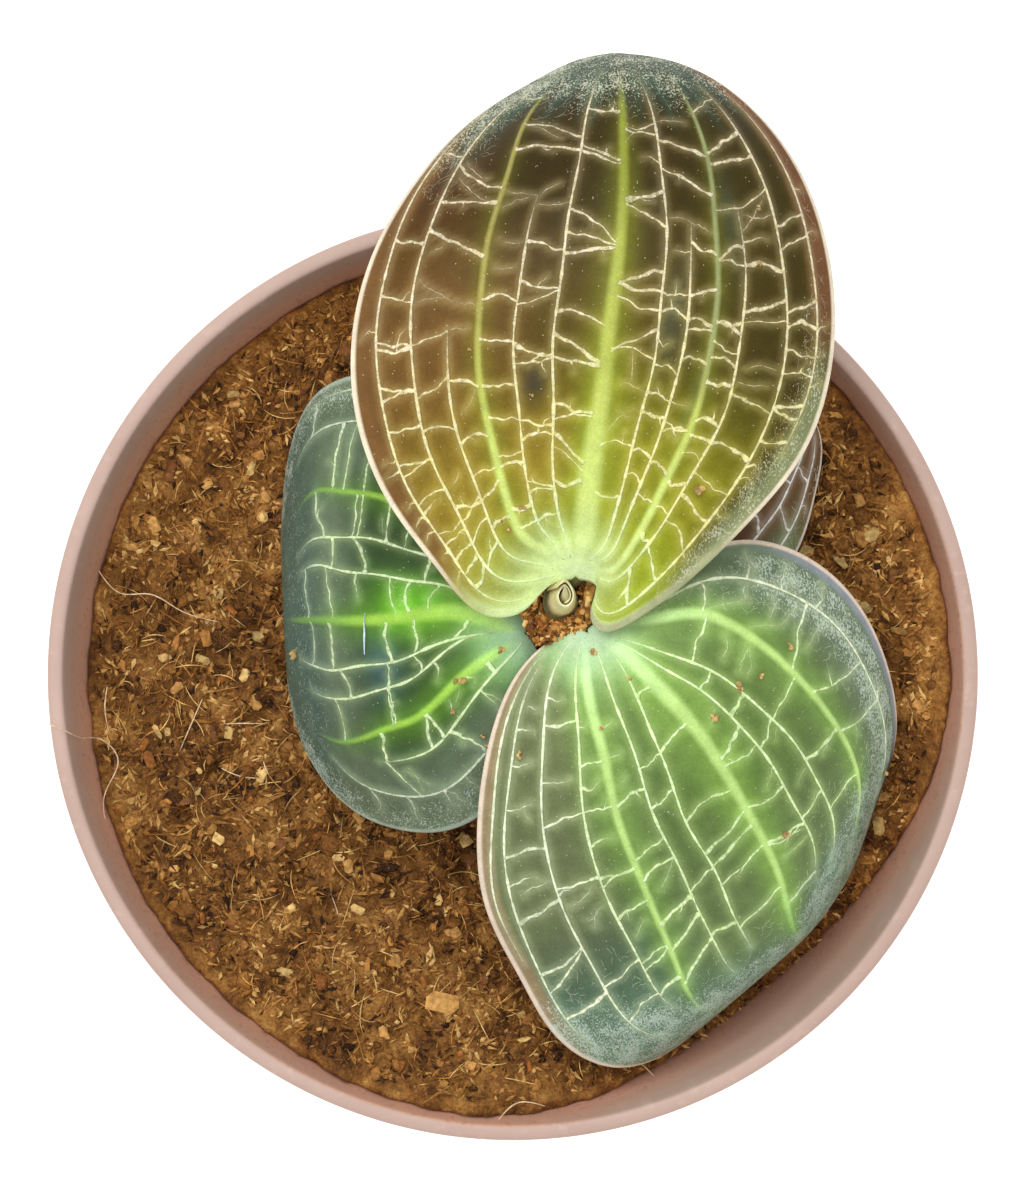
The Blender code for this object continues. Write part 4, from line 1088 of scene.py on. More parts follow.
def paint_left(leaf, s, t):
    """The left leaf: teal-green with a bright green glow round its midrib and a blue-grey far margin."""
    near = nearness(leaf, s, t, 2.2)
    base = pole_nearness(leaf, s, t, 6.2)
    edge = np.abs(t)
    tone = layered(
        s,
        (116, 134, 106),
        ((46, 72, 30), smooth(0.62, 0.42, s) * smooth(0.8, 0.5, edge) * 0.9),
        ((116, 172, 52), near * smooth(0.8, 0.36, s)),
        ((116, 200, 36), 0.7 * spot(s, t, (0.33, 0.06), (0.1, 0.12))),
        ((92, 126, 130), 0.5 * spot(s, t, (0.43, -0.2), (0.06, 0.13))),
        ((92, 118, 104), smooth(0.58, 0.72, s) * 0.9),
        ((122, 172, 84), 0.9 * smooth(0.12, 0.6, base)),
        ((166, 202, 164), base**1.8),
        ((176, 190, 170), smooth(0.978, 0.99, edge) * smooth(0.85, 0.6, s)),
    )
    # Painted sparkle along the edges and towards the tip.
    sparkle = 0.7 * smooth(0.8, 0.9, edge) + 0.4 * smooth(0.6, 0.75, s)
    main = layered(
        s,
        (160, 208, 80),
        ((124, 168, 92), smooth(0.44, 0.7, s)),
        ((186, 228, 140), base),
    )
    line = layered(
        s,
        (214, 240, 166),
        ((200, 218, 178), smooth(0.55, 0.75, s) + smooth(0.65, 0.85, edge)),
    )
    line = tinted(line, main, 0.65 * near**1.3)
    return tone, np.clip(sparkle, 0, 1), line, main


def paint_back(leaf, s, t):
    """The back leaf: almost black green, painted shade for the top leaf's shadow over it, with dim veins
    and a greener outer edge.
    """
    edge = np.abs(t)
    # Painted shade: the dark ground stands for the top leaf's shadow.
    tone = layered(
        s,
        (98, 72, 46),
        ((126, 160, 116), smooth(0.5, 0.85, t) * smooth(0.75, 0.4, s)),
        ((150, 190, 150), smooth(0.14, 0.03, s)),
        ((200, 192, 180), smooth(0.965, 0.985, edge)),
    )
    # Painted sparkle along the edges.
    sparkle = 0.5 * smooth(0.7, 0.95, edge)
    return tone, np.clip(sparkle, 0, 1), layered(s, (226, 226, 214)), layered(s, (150, 186, 130))


def net_distance(leaf, upper, lines):
    """How far each point of the upper face lies from the nearest line of the net."""
    s, t = (np.concatenate([line[k] for line in lines]) for k in (0, 1))
    stations = blade_face(leaf, s, t)[0]
    tree = KDTree(len(stations))
    for index, station in enumerate(stations):
        tree.insert(station, index)
    tree.balance()
    return np.array([tree.find(point)[2] for point in upper.reshape(-1, 3)]).reshape(upper.shape[:2])


def blade_columns(leaf, along):
    """Places across the blade for each place along it, crowded towards the main veins."""
    order = sorted(leaf["main"], key=lambda vein: leaf["veins"][vein][2])
    stops = [vein_place(leaf, vein, along) for vein in ("<", *order, ">")]
    widest = blade_surface(leaf, np.linspace(0.1, 0.9, 40), np.ones(40))[1].max()
    columns = []
    for first, second in zip(stops, stops[1:]):
        count = round((second - first).max() * widest / BLADE_STEP)
        part = np.linspace(0, 1, count, endpoint=False)
        part = 0.5 * part + 0.25 * (1 - np.cos(math.pi * part))
        columns.append(first[:, None] + (second - first)[:, None] * part)
    return np.hstack([*columns, stops[-1][:, None]])


def blade_piece(name, leaf, paint, finish, slot, lines):
    """The blade as one closed sheet: loops round it, over the upper face and back under the lower one."""
    edges = (curve_through(leaf[side], np.linspace(0, 1, 200)) for side in ("left", "right"))
    rows = round(max(path_length(edge) for edge in edges) / (BLADE_STEP * 1.35))
    reach_out = 0.5 - 0.497 * np.cos(math.pi * np.linspace(0, 1, rows))
    along = 0.35 * reach_out + 0.65 * np.linspace(0.003, 0.997, rows)
    t = blade_columns(leaf, along)
    s = np.repeat(along[:, None], t.shape[1], axis=1)
    upper, normal, _, _ = blade_face(leaf, s, t)
    middle = blade_surface(leaf, s, t)[0]
    lower = middle - normal * (BLADE + 0.12 * np.exp(-((t * 20) ** 2)))[..., None]
    rounds = []
    for side in (-1, 0):
        out = unit(upper[:, side] - upper[:, (-2 if side else 1)])
        centre = (upper[:, side] + lower[:, side]) / 2
        half = (upper[:, side] - lower[:, side]) / 2
        turns = (math.pi / 4, math.pi / 2, 3 * math.pi / 4)
        ring = [centre + half * math.cos(turn) + out * (EDGE_ROUND * math.sin(turn)) for turn in turns]
        rounds.append(np.stack(ring, 1))
    loops = np.concatenate([upper, rounds[0], lower[:, ::-1], rounds[1][:, ::-1]], axis=1)
    points, triangles = loft(loops)
    tone, sparkle, line_tone, main_tone = paint(leaf, s, t)
    away = net_distance(leaf, upper, lines)
    open_cell = smooth(0.4, 1.5, away) * (1 - pole_nearness(leaf, s, t, 8.0))
    open_cell = open_cell * smooth(0.97, 0.9, np.abs(t))
    tone = tone * (1.06 - CELL_SHADE * open_cell)[..., None]
    tone = tinted(tone, line_tone, HALO * np.exp(-((away / HALO_WIDTH) ** 2)))
    # Painted light: the tone is evened for the lamp along the blade.
    tone = np.minimum(lifted(leaf, s, tinted(tone, main_tone, vein_core(leaf, s, t))), 1.0)
    under = layered(s, (112, 96, 92), ((128, 140, 100), 0.5 + 0.5 * nearness(leaf, s, t, 1.5)))
    under = tinted(under, tone, np.full(s.shape, 0.25))
    right_rim, left_rim = np.repeat(tone[:, -1:], 3, 1), np.repeat(tone[:, :1], 3, 1)
    tones = np.concatenate([tone, right_rim, under[:, ::-1], left_rim], axis=1).reshape(-1, 3)
    # The painted sparkle lies on the upper face only.
    sparkles = np.zeros(loops.shape[:2])
    sparkles[:, : t.shape[1]] = sparkle
    tones = np.vstack([tones, tones[0], tones[-1]])
    sparkles = np.append(sparkles.ravel(), (0.0, 0.0))
    values = {"tone": tones, "sparkle": sparkles, "line": np.zeros(len(points))}
    return mesh_object(name + "_blade", points, triangles, finish, slot=slot, node=name, **values)


def roughened(draw, count, amount):
    """Factors round 1 that vary along a line, a little alike from one to the next."""
    steps = draw.standard_normal(count + 2)
    return 1 + amount * (0.6 * steps[1:-1] + 0.4 * (steps[:-2] + steps[2:]))


def vein_line(leaf, vein, draw):
    """A finer vein of the net: its places, half widths and strengths, which fade at its ends."""
    start, end = leaf["spans"][vein]
    start = max(start - 0.05, 0.03)
    coarse = np.linspace(start, end, 200)
    route = blade_surface(leaf, coarse, vein_place(leaf, vein, coarse))[0]
    count = int(path_length(route) / NET_STEP)
    s = np.linspace(start, end, count)
    fade = smooth(start - 0.01, start + 0.12, s) * smooth(end + 0.01, end - 0.12, s)
    width = np.interp(s, (0.0, 0.3, 1.0), VEIN_HALF_WIDTHS) * roughened(draw, count, 0.24)
    width = width * (0.5 + 0.5 * fade)
    force = (0.28 + 0.62 * fade) * (1 - 0.45 * draw.random(count))
    return s, vein_place(leaf, vein, s), np.maximum(width, 0.045), force


def rung_line(leaf, start, end, bow, width, draw, joined):
    """A wavering rung from one place on the blade to another: flared where joined, else tapered."""
    (s0, t0), (s1, t1) = start, end
    route = blade_surface(leaf, np.array((s0, s1)), np.array((t0, t1)))[0]
    length = max(0.3, np.linalg.norm(route[1] - route[0]))
    step = blade_surface(leaf, np.array((s0 + 0.01, s0)), np.array((t0, t0)))[0]
    scale = 1.0 / max(20.0, np.linalg.norm(np.subtract(*step)) * 100)
    count = max(4, int(length / (NET_STEP * 0.75)))
    part = np.linspace(0, 1, count)
    waver = 0
    for k in (1, 2, 3, 5, 7):
        force = draw.uniform(-1, 1) / k**0.8
        waver = waver + force * np.sin(math.pi * k * part + draw.uniform(-0.4, 0.4))
    arch = np.sin(math.pi * part)
    s = s0 + (s1 - s0) * part + (bow * arch + 0.3 * waver * arch**0.5) * scale
    t = t0 + (t1 - t0) * part
    shape = np.ones(count)
    for side, near_end in zip(joined, (1 - part, part)):
        shape = shape * ((1 + 0.5 * near_end**8) if side else (1 - 0.85 * near_end**1.2))
    widths = width * shape * roughened(draw, count, 0.36)
    force = draw.uniform(0.72, 0.98) * np.sqrt(np.minimum(shape, 1.0)) * (1 - 0.6 * draw.random(count))
    return np.clip(s, 0.01, 0.985), t, np.maximum(widths, LEAST_HALF_WIDTH), np.clip(force, 0, 1)


def vein_side(leaf, vein, along, towards):
    """The place on a vein where a rung that comes from some place across the blade meets it."""
    place = float(vein_place(leaf, vein, along))
    reach = float(blade_surface(leaf, np.array((along,)), np.array((place,)))[1][0])
    half = 0.0
    if vein in leaf["main"]:
        half = 0.6 * float(vein_girth(leaf, vein, along)[0]) / max(reach, 1.0)
    return along, place + math.copysign(half, towards - place)


def rung_lines(leaf, draw):
    """The rungs between the veins, some of them broken off or forked on the way, and the links."""
    lines = []
    for (first, second), rungs in leaf["rungs"].items():
        for rung in rungs:
            part = rung[2] if len(rung) > 2 else 0
            if first in EDGES:
                part = -draw.uniform(0.4, 0.8)
            if second in EDGES:
                part = draw.uniform(0.4, 0.8)
            start = vein_side(leaf, first, rung[0], float(vein_place(leaf, second, rung[1])))
            end = vein_side(leaf, second, rung[1], start[1])
            if part < 0:
                start, end = end, start
            if part:
                end = tuple(a + (b - a) * abs(part) for a, b in zip(start, end))
            width = draw.uniform(*RUNG_HALF_WIDTH) * (0.85 if part else 1.0)
            bow = draw.uniform(-0.55, 0.55)
            lines.append(rung_line(leaf, start, end, bow, width, draw, (1, 0 if part else 1)))
            if not part and draw.random() < TWIG_CHANCE:
                fork = int(len(lines[-1][0]) * draw.uniform(0.25, 0.75))
                place = (lines[-1][0][fork], lines[-1][1][fork])
                along = place[0] + draw.choice((-1, 1)) * draw.uniform(0.008, 0.02)
                twig = (along, place[1] + draw.uniform(-0.3, 0.3) * (end[1] - start[1]))
                lines.append(rung_line(leaf, place, twig, 0, width * 0.7, draw, (1, 0)))
    for link in leaf["links"]:
        bow = draw.uniform(-0.4, 0.4)
        width = draw.uniform(*LINK_HALF_WIDTH)
        lines.append(rung_line(leaf, link[:2], link[2:], bow, width, draw, (0, 0)))
    return lines


def sparkle_lines(leaf, draw):
    """Short fine strokes of painted sparkle, crowded in the blade's sparkling zones."""
    lines = []
    for low_s, high_s, low_t, high_t, count in leaf["sparkling"]:
        for _ in range(count):
            s, t = draw.uniform(low_s, high_s), draw.uniform(low_t, high_t)
            reach = float(blade_surface(leaf, np.array((s,)), np.array((t,)))[1][0])
            angle, length = draw.uniform(0, 2 * math.pi), draw.uniform(*STROKE_LENGTH)
            end = (s + length * math.cos(angle) / 90.0, t + length * math.sin(angle) / max(reach, 4.0))
            if abs(end[1]) < 0.97 and 0.02 < end[0] < 0.97:
                bow, width = draw.uniform(-0.3, 0.3), draw.uniform(*STROKE_HALF_WIDTH)
                s, t, width, force = rung_line(leaf, (s, t), end, bow, width, draw, (0, 0))
                lines.append((s, t, width, force * STROKE_FORCE))
    return lines


LINE_SECTION = ((-1.25, -0.1, 0.12), (-0.55, 0.8, 0.95), (0.55, 0.8, 0.95), (1.25, -0.1, 0.12))


def net_ribbons(leaf, paint, lines):
    """Closed ribbons along lines of the blade's face, with their tones and their graininess."""
    s, t, width, force = (np.concatenate([line[k] for line in lines]) for k in range(4))
    crest = (0.03 + 0.25 * width) * (0.2 + 0.8 * force)
    stops = np.cumsum([0] + [len(line[0]) for line in lines])
    spans = [slice(first, last) for first, last in zip(stops, stops[1:])]
    centre, normal, ahead, aside = blade_face(leaf, s, t)
    tangent = np.zeros_like(centre)
    for span in spans:
        tangent[span] = np.gradient(centre[span], axis=0)
    side = unit(np.cross(normal, unit(tangent)))
    aa, ab, bb = (ahead * ahead).sum(-1), (ahead * aside).sum(-1), (aside * aside).sum(-1)
    da, db = (ahead * side).sum(-1), (aside * side).sum(-1)
    scale = np.maximum(aa * bb - ab * ab, 1e-6)
    step_s = np.clip((da * bb - db * ab) / scale, -0.06, 0.06)
    step_t = np.clip((db * aa - da * ab) / scale, -0.25, 0.25)
    loops, tones, grain = [], [], []
    for offset, height, strength in LINE_SECTION:
        place_s = np.clip(s + step_s * offset * width, 0.002, 0.998)
        place_t = np.clip(t + step_t * offset * width, -0.999, 0.999)
        point, up, _, _ = blade_face(leaf, place_s, place_t)
        loops.append(point + up * (height * crest)[..., None])
        tone, _, line_tone, main_tone = paint(leaf, place_s, place_t)
        tone = tinted(tone, main_tone, vein_core(leaf, place_s, place_t))
        amount = strength * force
        # Painted light: the lines are evened for the lamp as the blade is.
        tone = lifted(leaf, place_s, tinted(tone, line_tone * LINE_GAIN, amount))
        tones.append(np.minimum(tone, 1.0))
        grain.append(amount)
    loops.append(centre - normal * NET_SINK)
    tones.append(tones[0])
    grain.append(grain[0] * 0)
    loops, tones, grain = np.stack(loops, 1), np.stack(tones, 1), np.stack(grain, 1)
    parts, all_tones, all_grain = [], [], []
    for span in spans:
        parts.append(loft(loops[span]))
        tone = tones[span]
        all_tones += [tone.reshape(-1, 3), tone[0, :1], tone[-1, :1]]
        all_grain += [grain[span].ravel(), (0.0, 0.0)]
    return parts, np.vstack(all_tones), np.concatenate(all_grain)


def net_lines(leaf, seed):
    """The finer veins, with the rungs between all the veins, and the strokes of painted sparkle."""
    draw = np.random.default_rng(seed)
    net = [vein_line(leaf, vein, draw) for vein in leaf["veins"] if vein not in leaf["main"]]
    return net + rung_lines(leaf, draw), sparkle_lines(leaf, draw)


def net_piece(name, leaf, paint, finish, slot, lines):
    """The raised net of pale lines on a blade."""
    parts, tones, grain = net_ribbons(leaf, paint, lines)
    points, triangles = merged(parts)
    values = {"tone": tones, "sparkle": np.zeros(len(points)), "line": grain}
    return mesh_object(name + "_net", points, triangles, finish, slot=slot, node=name, **values)


def stalk_piece(name, leaf, finish, slot):
    """The stalk, which runs on under the midrib as a keel, and the sheath that clasps the stem."""
    pole = np.array(leaf["midrib"][0], float)
    out = pole[:2] - AXIS
    reach = np.linalg.norm(out)
    out /= reach
    low = SHEATH_START + leaf["level"] * SHEATH_STEP
    foot = low + SHEATH_LENGTH * 0.45
    start = SHEATH_OUTER + STALK_RADIUS * 0.35
    clear = max(SHEATH_OUTER + GAP + STALK_RADIUS + 0.2, start)
    bowed = max(clear, start + (reach - start) * 0.7)
    rise = pole[2] - foot
    path = [(start, foot), (min(clear, reach), foot + 0.16 * rise + 0.8)]
    path.append((min(bowed, reach), foot + 0.62 * rise))
    points = [(AXIS[0] + out[0] * r, AXIS[1] + out[1] * r, height) for r, height in path]
    under = curve_through(leaf["midrib"], np.array([0.02, 0.1, 0.19, KEEL_END]))
    under[:, 2] -= BLADE + STALK_RADIUS * np.array((1.15, 0.85, 0.6, 0.35))
    points += under.tolist()
    places = np.linspace(0, 1, 48)
    widths = np.interp(places * 10, range(11), STALK_TAPER)
    parts = [tube(curve_through(points, places), STALK_RADIUS * widths, 16)]
    ring = []
    for step in range(13):
        part = step / 12
        swell = SHEATH_SWELL * math.cos(2 * math.pi * part)
        ring.append((SHEATH_OUTER - swell - 0.05, low + SHEATH_LENGTH * part))
    high = low + SHEATH_LENGTH
    ring += [(SHEATH_OUTER - 0.3, high + 0.12), (SHEATH_INNER, high), (SHEATH_INNER, low)]
    parts.append(closed_ring(turned(ring, 40, AXIS)))
    points, triangles = merged(parts)
    return mesh_object(name + "_stalk", points, triangles, finish, slot=slot, node=name)


def closed_ring(rings):
    """Points and triangles of a body whose rings follow each other in a closed loop, such as a collar."""
    count, size = rings.shape[:2]
    rows, here = np.meshgrid(np.arange(count), np.arange(size), indexing="ij")
    after = (here + 1) % size
    row, next_row = rows * size, (rows + 1) % count * size
    squares = split_squares(row + here, row + after, next_row + after, next_row + here)
    return facing_out(rings.reshape(-1, 3), squares)


def pot_inner_radius(height):
    """The radius of the pot's inner wall at a height above its floor."""
    top = POT_TOP_RADIUS - POT_WALL
    base = POT_BASE_RADIUS - POT_WALL
    return base + (top - base) * height / POT_HEIGHT


def cut(target, cutters):
    """Cuts closed bodies out of a piece and removes them."""
    group = bpy.data.collections.new("cutters")
    bpy.context.scene.collection.children.link(group)
    for points, triangles in cutters:
        mesh = bpy.data.meshes.new("cutter")
        mesh.from_pydata((points * MM).tolist(), [], triangles.tolist())
        group.objects.link(bpy.data.objects.new("cutter", mesh))
    boolean = target.modifiers.new("Cut", "BOOLEAN")
    boolean.operation = "DIFFERENCE"
    boolean.operand_type = "COLLECTION"
    boolean.collection = group
    boolean.solver = "EXACT"
    bpy.context.view_layer.update()
    evaluated = target.evaluated_get(bpy.context.evaluated_depsgraph_get())
    mesh = bpy.data.meshes.new_from_object(evaluated)
    target.modifiers.clear()
    finish = target.data.materials[0]
    target.data = mesh
    mesh.materials.clear()
    mesh.materials.append(finish)
    mesh.shade_smooth()
    mesh.set_sharp_from_angle(angle=math.radians(35))
    for cutter in list(group.objects):
        bpy.data.objects.remove(cutter, do_unlink=True)
    bpy.data.collections.remove(group)


def pot_profile():
    """The pot's (radius, height) from its floor's middle, up inside, over the rim and down outside."""
    half = POT_WALL / 2
    shoulder = POT_HEIGHT - half
    profile = [(POT_MIDDLE, POT_FLOOR), (pot_inner_radius(POT_FLOOR) - FOOT_CHAMFER, POT_FLOOR)]
    for height in np.linspace(POT_FLOOR + FOOT_CHAMFER, shoulder, 30):
        profile.append((pot_inner_radius(height), height))
    for step in range(1, 12):
        angle = math.pi * (1 - step / 12)
        across, up = math.cos(angle), math.sin(angle)
        out = math.copysign(abs(across) ** 0.7, across)
        profile.append((POT_TOP_RADIUS - half + half * out, shoulder + half * up**0.45))
    for height in np.linspace(shoulder, FOOT_CHAMFER, 24):
        widening = (POT_TOP_RADIUS - POT_BASE_RADIUS) * (height - FOOT_CHAMFER)
        profile.append((POT_BASE_RADIUS + widening / (shoulder - FOOT_CHAMFER), height))
    return profile + [(POT_BASE_RADIUS - FOOT_CHAMFER, 0.0), (POT_MIDDLE, 0.0)]


def pot_piece():
    """The pot: its turned wall and floor, with drain holes and the grooves that lead out from them."""
    points, triangles = loft(turned(pot_profile(), POT_SIDES))
    radius = np.linalg.norm(points[:, :2], axis=1)
    angle = np.degrees(np.arctan2(points[:, 1], points[:, 0]))
    inside = radius < pot_inner_radius(points[:, 2]) + 0.3
    above_soil = points[:, 2] - soil_edge(angle)
    # The mask near the soil carries dark dirt and painted glow alike; the one deep inside carries painted
    # glow only.
    dust_and_glow = np.where(inside, smooth(9.0, 0.0, above_soil), 0.1 * smooth(40.0, 0.0, points[:, 2]))
    values = {"dust_and_glow": dust_and_glow, "inner_glow": inside * smooth(1.5, 9.0, POT_HEIGHT - points[:, 2])}
    plastic = plastic_finish("pot_plastic")
    pot = mesh_object("pot_shell", points, triangles, plastic, slot="pot_plastic", node="pot", **values)
    holes, grooves = [], []
    for k in range(DRAIN_HOLES):
        turn = 2 * math.pi * (k + 0.5) / DRAIN_HOLES
        out = np.array((math.cos(turn), math.sin(turn), 0.0))
        bore = [(DRAIN_RADIUS, -1.0), (DRAIN_RADIUS, POT_FLOOR + 1.0)]
        holes.append(loft(turned(bore, DRAIN_SIDES, DRAIN_RING * out)))
        side = np.array((-out[1], out[0], 0.0)) * GROOVE_WIDTH / 2
        deep = UP * GROOVE_DEPTH
        section = np.array([side - UP, -side - UP, -side + deep, side + deep])
        ends = (DRAIN_RING, POT_BASE_RADIUS + 3.0)
        grooves.append(loft(np.array([out * reach + section for reach in ends])))
    cut(pot, holes)
    cut(pot, grooves)
    return pot


def soil_edge(angle):
    """The level of the soil where it meets the pot, at angles in degrees."""
    stops = np.array(list(SOIL_EDGE), float)
    levels = np.array(list(SOIL_EDGE.values()))
    i = np.clip(np.searchsorted(stops, angle, side="right") - 1, 0, len(stops) - 2)
    part = eased((angle - stops[i]) / (stops[i + 1] - stops[i]))
    return levels[i] * (1 - part) + levels[i + 1] * part


def soil_height(x, y):
    """The height of the soil's lumpy top, which is sunk at the front right."""
    edge = soil_edge(np.degrees(np.arctan2(y, x)))
    out = np.minimum(1.0, np.hypot(x, y) / pot_inner_radius(SOIL_CENTRE))
    level = SOIL_CENTRE + (edge - SOIL_CENTRE) * out**2.5
    lumps = np.sin(0.61 * x + 1.3) * np.cos(0.53 * y) + 0.7 * np.sin(0.97 * x - 0.71 * y)
    lumps = lumps + 0.6 * np.cos(1.31 * x + 1.13 * y + 0.6)
    return level + SOIL_LUMP * lumps * (1 - 0.6 * out**8)


def soil_top(x, y):
    """The soil's top with its smaller lumps and pits."""
    flat = np.stack([x, y, np.zeros_like(x)], -1)
    fine = 0.5 * noise(flat * 0.5, 1) + 0.38 * noise(flat * 1.1, 2) + 0.22 * noise(flat * 2.3, 3)
    return soil_height(x, y) + fine - 0.1


SOIL_TONES = np.array([
    srgb(50, 28, 12), srgb(92, 56, 24), srgb(130, 84, 36),
    srgb(160, 110, 52), srgb(190, 140, 74), srgb(222, 180, 110),
])
CHIP_TONES = np.array([
    srgb(150, 92, 40), srgb(180, 124, 62), srgb(204, 152, 84), srgb(132, 84, 44), srgb(218, 180, 112),
])


def soil_tones(points, draw, spread):
    """A brown for each point, darker and paler in patches, and brighter towards the back and the right as
    painted light.
    """
    place = 2.4 + 1.3 * noise(points * 0.3, 5) + 0.9 * noise(points * 1.4, 6)
    place = np.clip(place + spread * draw.standard_normal(len(points)), 0, len(SOIL_TONES) - 1.001)
    low = place.astype(int)
    part = (place - low)[:, None]
    # Painted light: paler towards the back and the right.
    far_side_light = 1 + 0.36 * smooth(5, 45, points[:, 1]) + 0.22 * smooth(15, 48, points[:, 0])
    tones = SOIL_TONES[low] * (1 - part) + SOIL_TONES[low + 1] * part
    return np.minimum(tones * far_side_light[:, None], 0.95)


def soil_body(finish):
    """The fill of the pot: a lumpy top, of rings with six more points each, then wall and bottom."""
    draw = np.random.default_rng(11)
    points, triangles = [np.zeros((1, 2))], []
    for ring in range(1, SOIL_RINGS + 1):
        angles = full_turn(6 * ring) - math.pi
        points.append(ring / SOIL_RINGS * np.stack([np.cos(angles), np.sin(angles)], -1))
        outer, inner = 1 + 3 * ring * (ring - 1), 1 + 3 * (ring - 1) * (ring - 2)
        for sector in range(6):
            i = np.arange(ring)
            a = outer + (sector * ring + i) % (6 * ring)
            b = outer + (sector * ring + i + 1) % (6 * ring)
            p = np.zeros(1, int)
            if ring > 1:
                p = inner + (sector * (ring - 1) + i) % (6 * (ring - 1))
            triangles.append(np.stack([p, a, b], -1))
            if ring > 1:
                q = inner + (sector * (ring - 1) + i + 1) % (6 * (ring - 1))
                triangles.append(np.stack([p, b, q], -1)[:-1])
    flat = np.vstack(points)
    edge = 6 * SOIL_RINGS
    flat[1:-edge] += draw.uniform(-0.0035, 0.0035, (len(flat) - 1 - edge, 2))
    angle = np.degrees(np.arctan2(flat[:, 1], flat[:, 0]))
    wall = pot_inner_radius(soil_edge(angle)) - GAP
    x, y = flat[:, 0] * wall, flat[:, 1] * wall
    top = np.stack([x, y, soil_top(x, y)], -1)
    rim = top[-edge:]
    bottom = POT_FLOOR + GAP
    rings = []
    for part in (0.12, 0.5, 1.0):
        height = rim[:, 2] * (1 - part) + (bottom + FOOT_CHAMFER) * part
        radius = (pot_inner_radius(height) - GAP) / np.hypot(rim[:, 0], rim[:, 1])
        rings.append(np.stack([rim[:, 0] * radius, rim[:, 1] * radius, height], -1))
    inset = (pot_inner_radius(bottom) - GAP - FOOT_CHAMFER) / np.hypot(rim[:, 0], rim[:, 1])
    rings.append(np.stack([rim[:, 0] * inset, rim[:, 1] * inset, np.full(edge, bottom)], -1))
    start = len(top) - edge
    here = np.arange(edge)
    after = (here + 1) % edge
    for k in range(len(rings)):
        low, high = start + k * edge, start + (k + 1) * edge
        triangles.append(split_squares(low + here, high + here, high + after, low + after))
    last = start + len(rings) * edge
    points = np.vstack([top, *rings, (0.0, 0.0, bottom)])
    triangles.append(np.stack([np.full(edge, len(points) - 1), last + after, last + here], -1))
    triangles = np.vstack(triangles)
    tones = soil_tones(points, draw, 0.35) * 0.85
    return mesh_object("soil", points, triangles, finish, **SOIL, tone=tones)


def turned_at_random(count, draw):
    """A rotation for each of some crumbs."""
    q = unit(draw.standard_normal((count, 4)))
    w, x, y, z = q.T
    return np.stack([
        np.stack([1 - 2 * (y * y + z * z), 2 * (x * y - z * w), 2 * (x * z + y * w)], -1),
        np.stack([2 * (x * y + z * w), 1 - 2 * (x * x + z * z), 2 * (y * z - x * w)], -1),
        np.stack([2 * (x * z - y * w), 2 * (y * z + x * w), 1 - 2 * (x * x + y * y)], -1),
    ], 1)


def octahedron():
    """Points and triangles of a solid with eight sides."""
    points = np.array([(1, 0, 0), (0, 1, 0), (-1, 0, 0), (0, -1, 0), (0, 0, 1), (0, 0, -1)], float)
    sides = [(k, (k + 1) % 4, 4) for k in range(4)] + [((k + 1) % 4, k, 5) for k in range(4)]
    return points, np.array(sides)


def icosahedron():
    """Points and triangles of a solid with twenty sides."""
    phi = (1 + math.sqrt(5)) / 2
    points = unit(np.array([
        (-1, phi, 0), (1, phi, 0), (-1, -phi, 0), (1, -phi, 0), (0, -1, phi), (0, 1, phi),
        (0, -1, -phi), (0, 1, -phi), (phi, 0, -1), (phi, 0, 1), (-phi, 0, -1), (-phi, 0, 1),
    ]))
    order = (
        "0 11 5 0 5 1 0 1 7 0 7 10 0 10 11 1 5 9 5 11 4 11 10 2 10 7 6 7 1 8 "
        "3 9 4 3 4 2 3 2 6 3 6 8 3 8 9 4 9 5 2 4 11 6 2 10 8 6 7 9 8 1"
    )
    return points, np.array(order.split(), int).reshape(-1, 3)


def lying(count, draw, tilt):
    """A rotation for each of some flakes and shreds, which lie nearly level and point any way."""
    heading = draw.uniform(0, 2 * math.pi, count)
    pitch, roll = draw.normal(0, tilt, (2, count))
    x, y = np.cos(heading), np.sin(heading)
    ahead = np.stack([x * np.cos(pitch), y * np.cos(pitch), np.sin(pitch)], -1)
    level = np.stack([-y, x, np.zeros(count)], -1)
    side = level * np.cos(roll)[:, None] + np.cross(ahead, level) * np.sin(roll)[:, None]
    return np.stack([ahead, side, np.cross(ahead, side)], -1)


def placed(body, triangles, turns, places):
    """Crumbs turned and moved to their places, as one list of points and one of triangles."""
    count, corners = body.shape[:2]
    body = np.einsum("nij,ncj->nci", turns, body) + places[:, None, :]
    faces = triangles[None] + (np.arange(count) * corners)[:, None, None]
    return body.reshape(-1, 3), faces.reshape(-1, 3)


def scattered(places, sizes, shape, draw, rough, tones, turns=None):
    """A crumb at each place: the shape, stretched, roughened and turned, with one tone for each crumb."""
    points, triangles = shape
    count, corners = len(places), len(points)
    body = points * sizes[:, None, :] / 2 * (1 + rough * draw.uniform(-1, 1, (count, corners, 1)))
    turns = turned_at_random(count, draw) if turns is None else turns
    return *placed(body, triangles, turns, places), np.repeat(tones, corners, axis=0)


def soil_places(count, draw, margin=0.6, clumps=0.0):
    """Places on the soil, more of them where it clumps, and none in the stem."""
    found = []
    while len(found) < count:
        reach = (pot_inner_radius(86.0) - margin) * math.sqrt(draw.random())
        angle = draw.uniform(-math.pi, math.pi)
        x, y = reach * math.cos(angle), reach * math.sin(angle)
        if math.dist((x, y), AXIS) < STEM_RADIUS + 0.8:
            continue
        if clumps and draw.random() > 0.5 + clumps * noise(np.array([[x * 0.22, y * 0.22, 4.0]]))[0]:
            continue
        found.append((x, y))
    x, y = np.array(found).T
    return np.stack([x, y, soil_top(x, y)], -1)


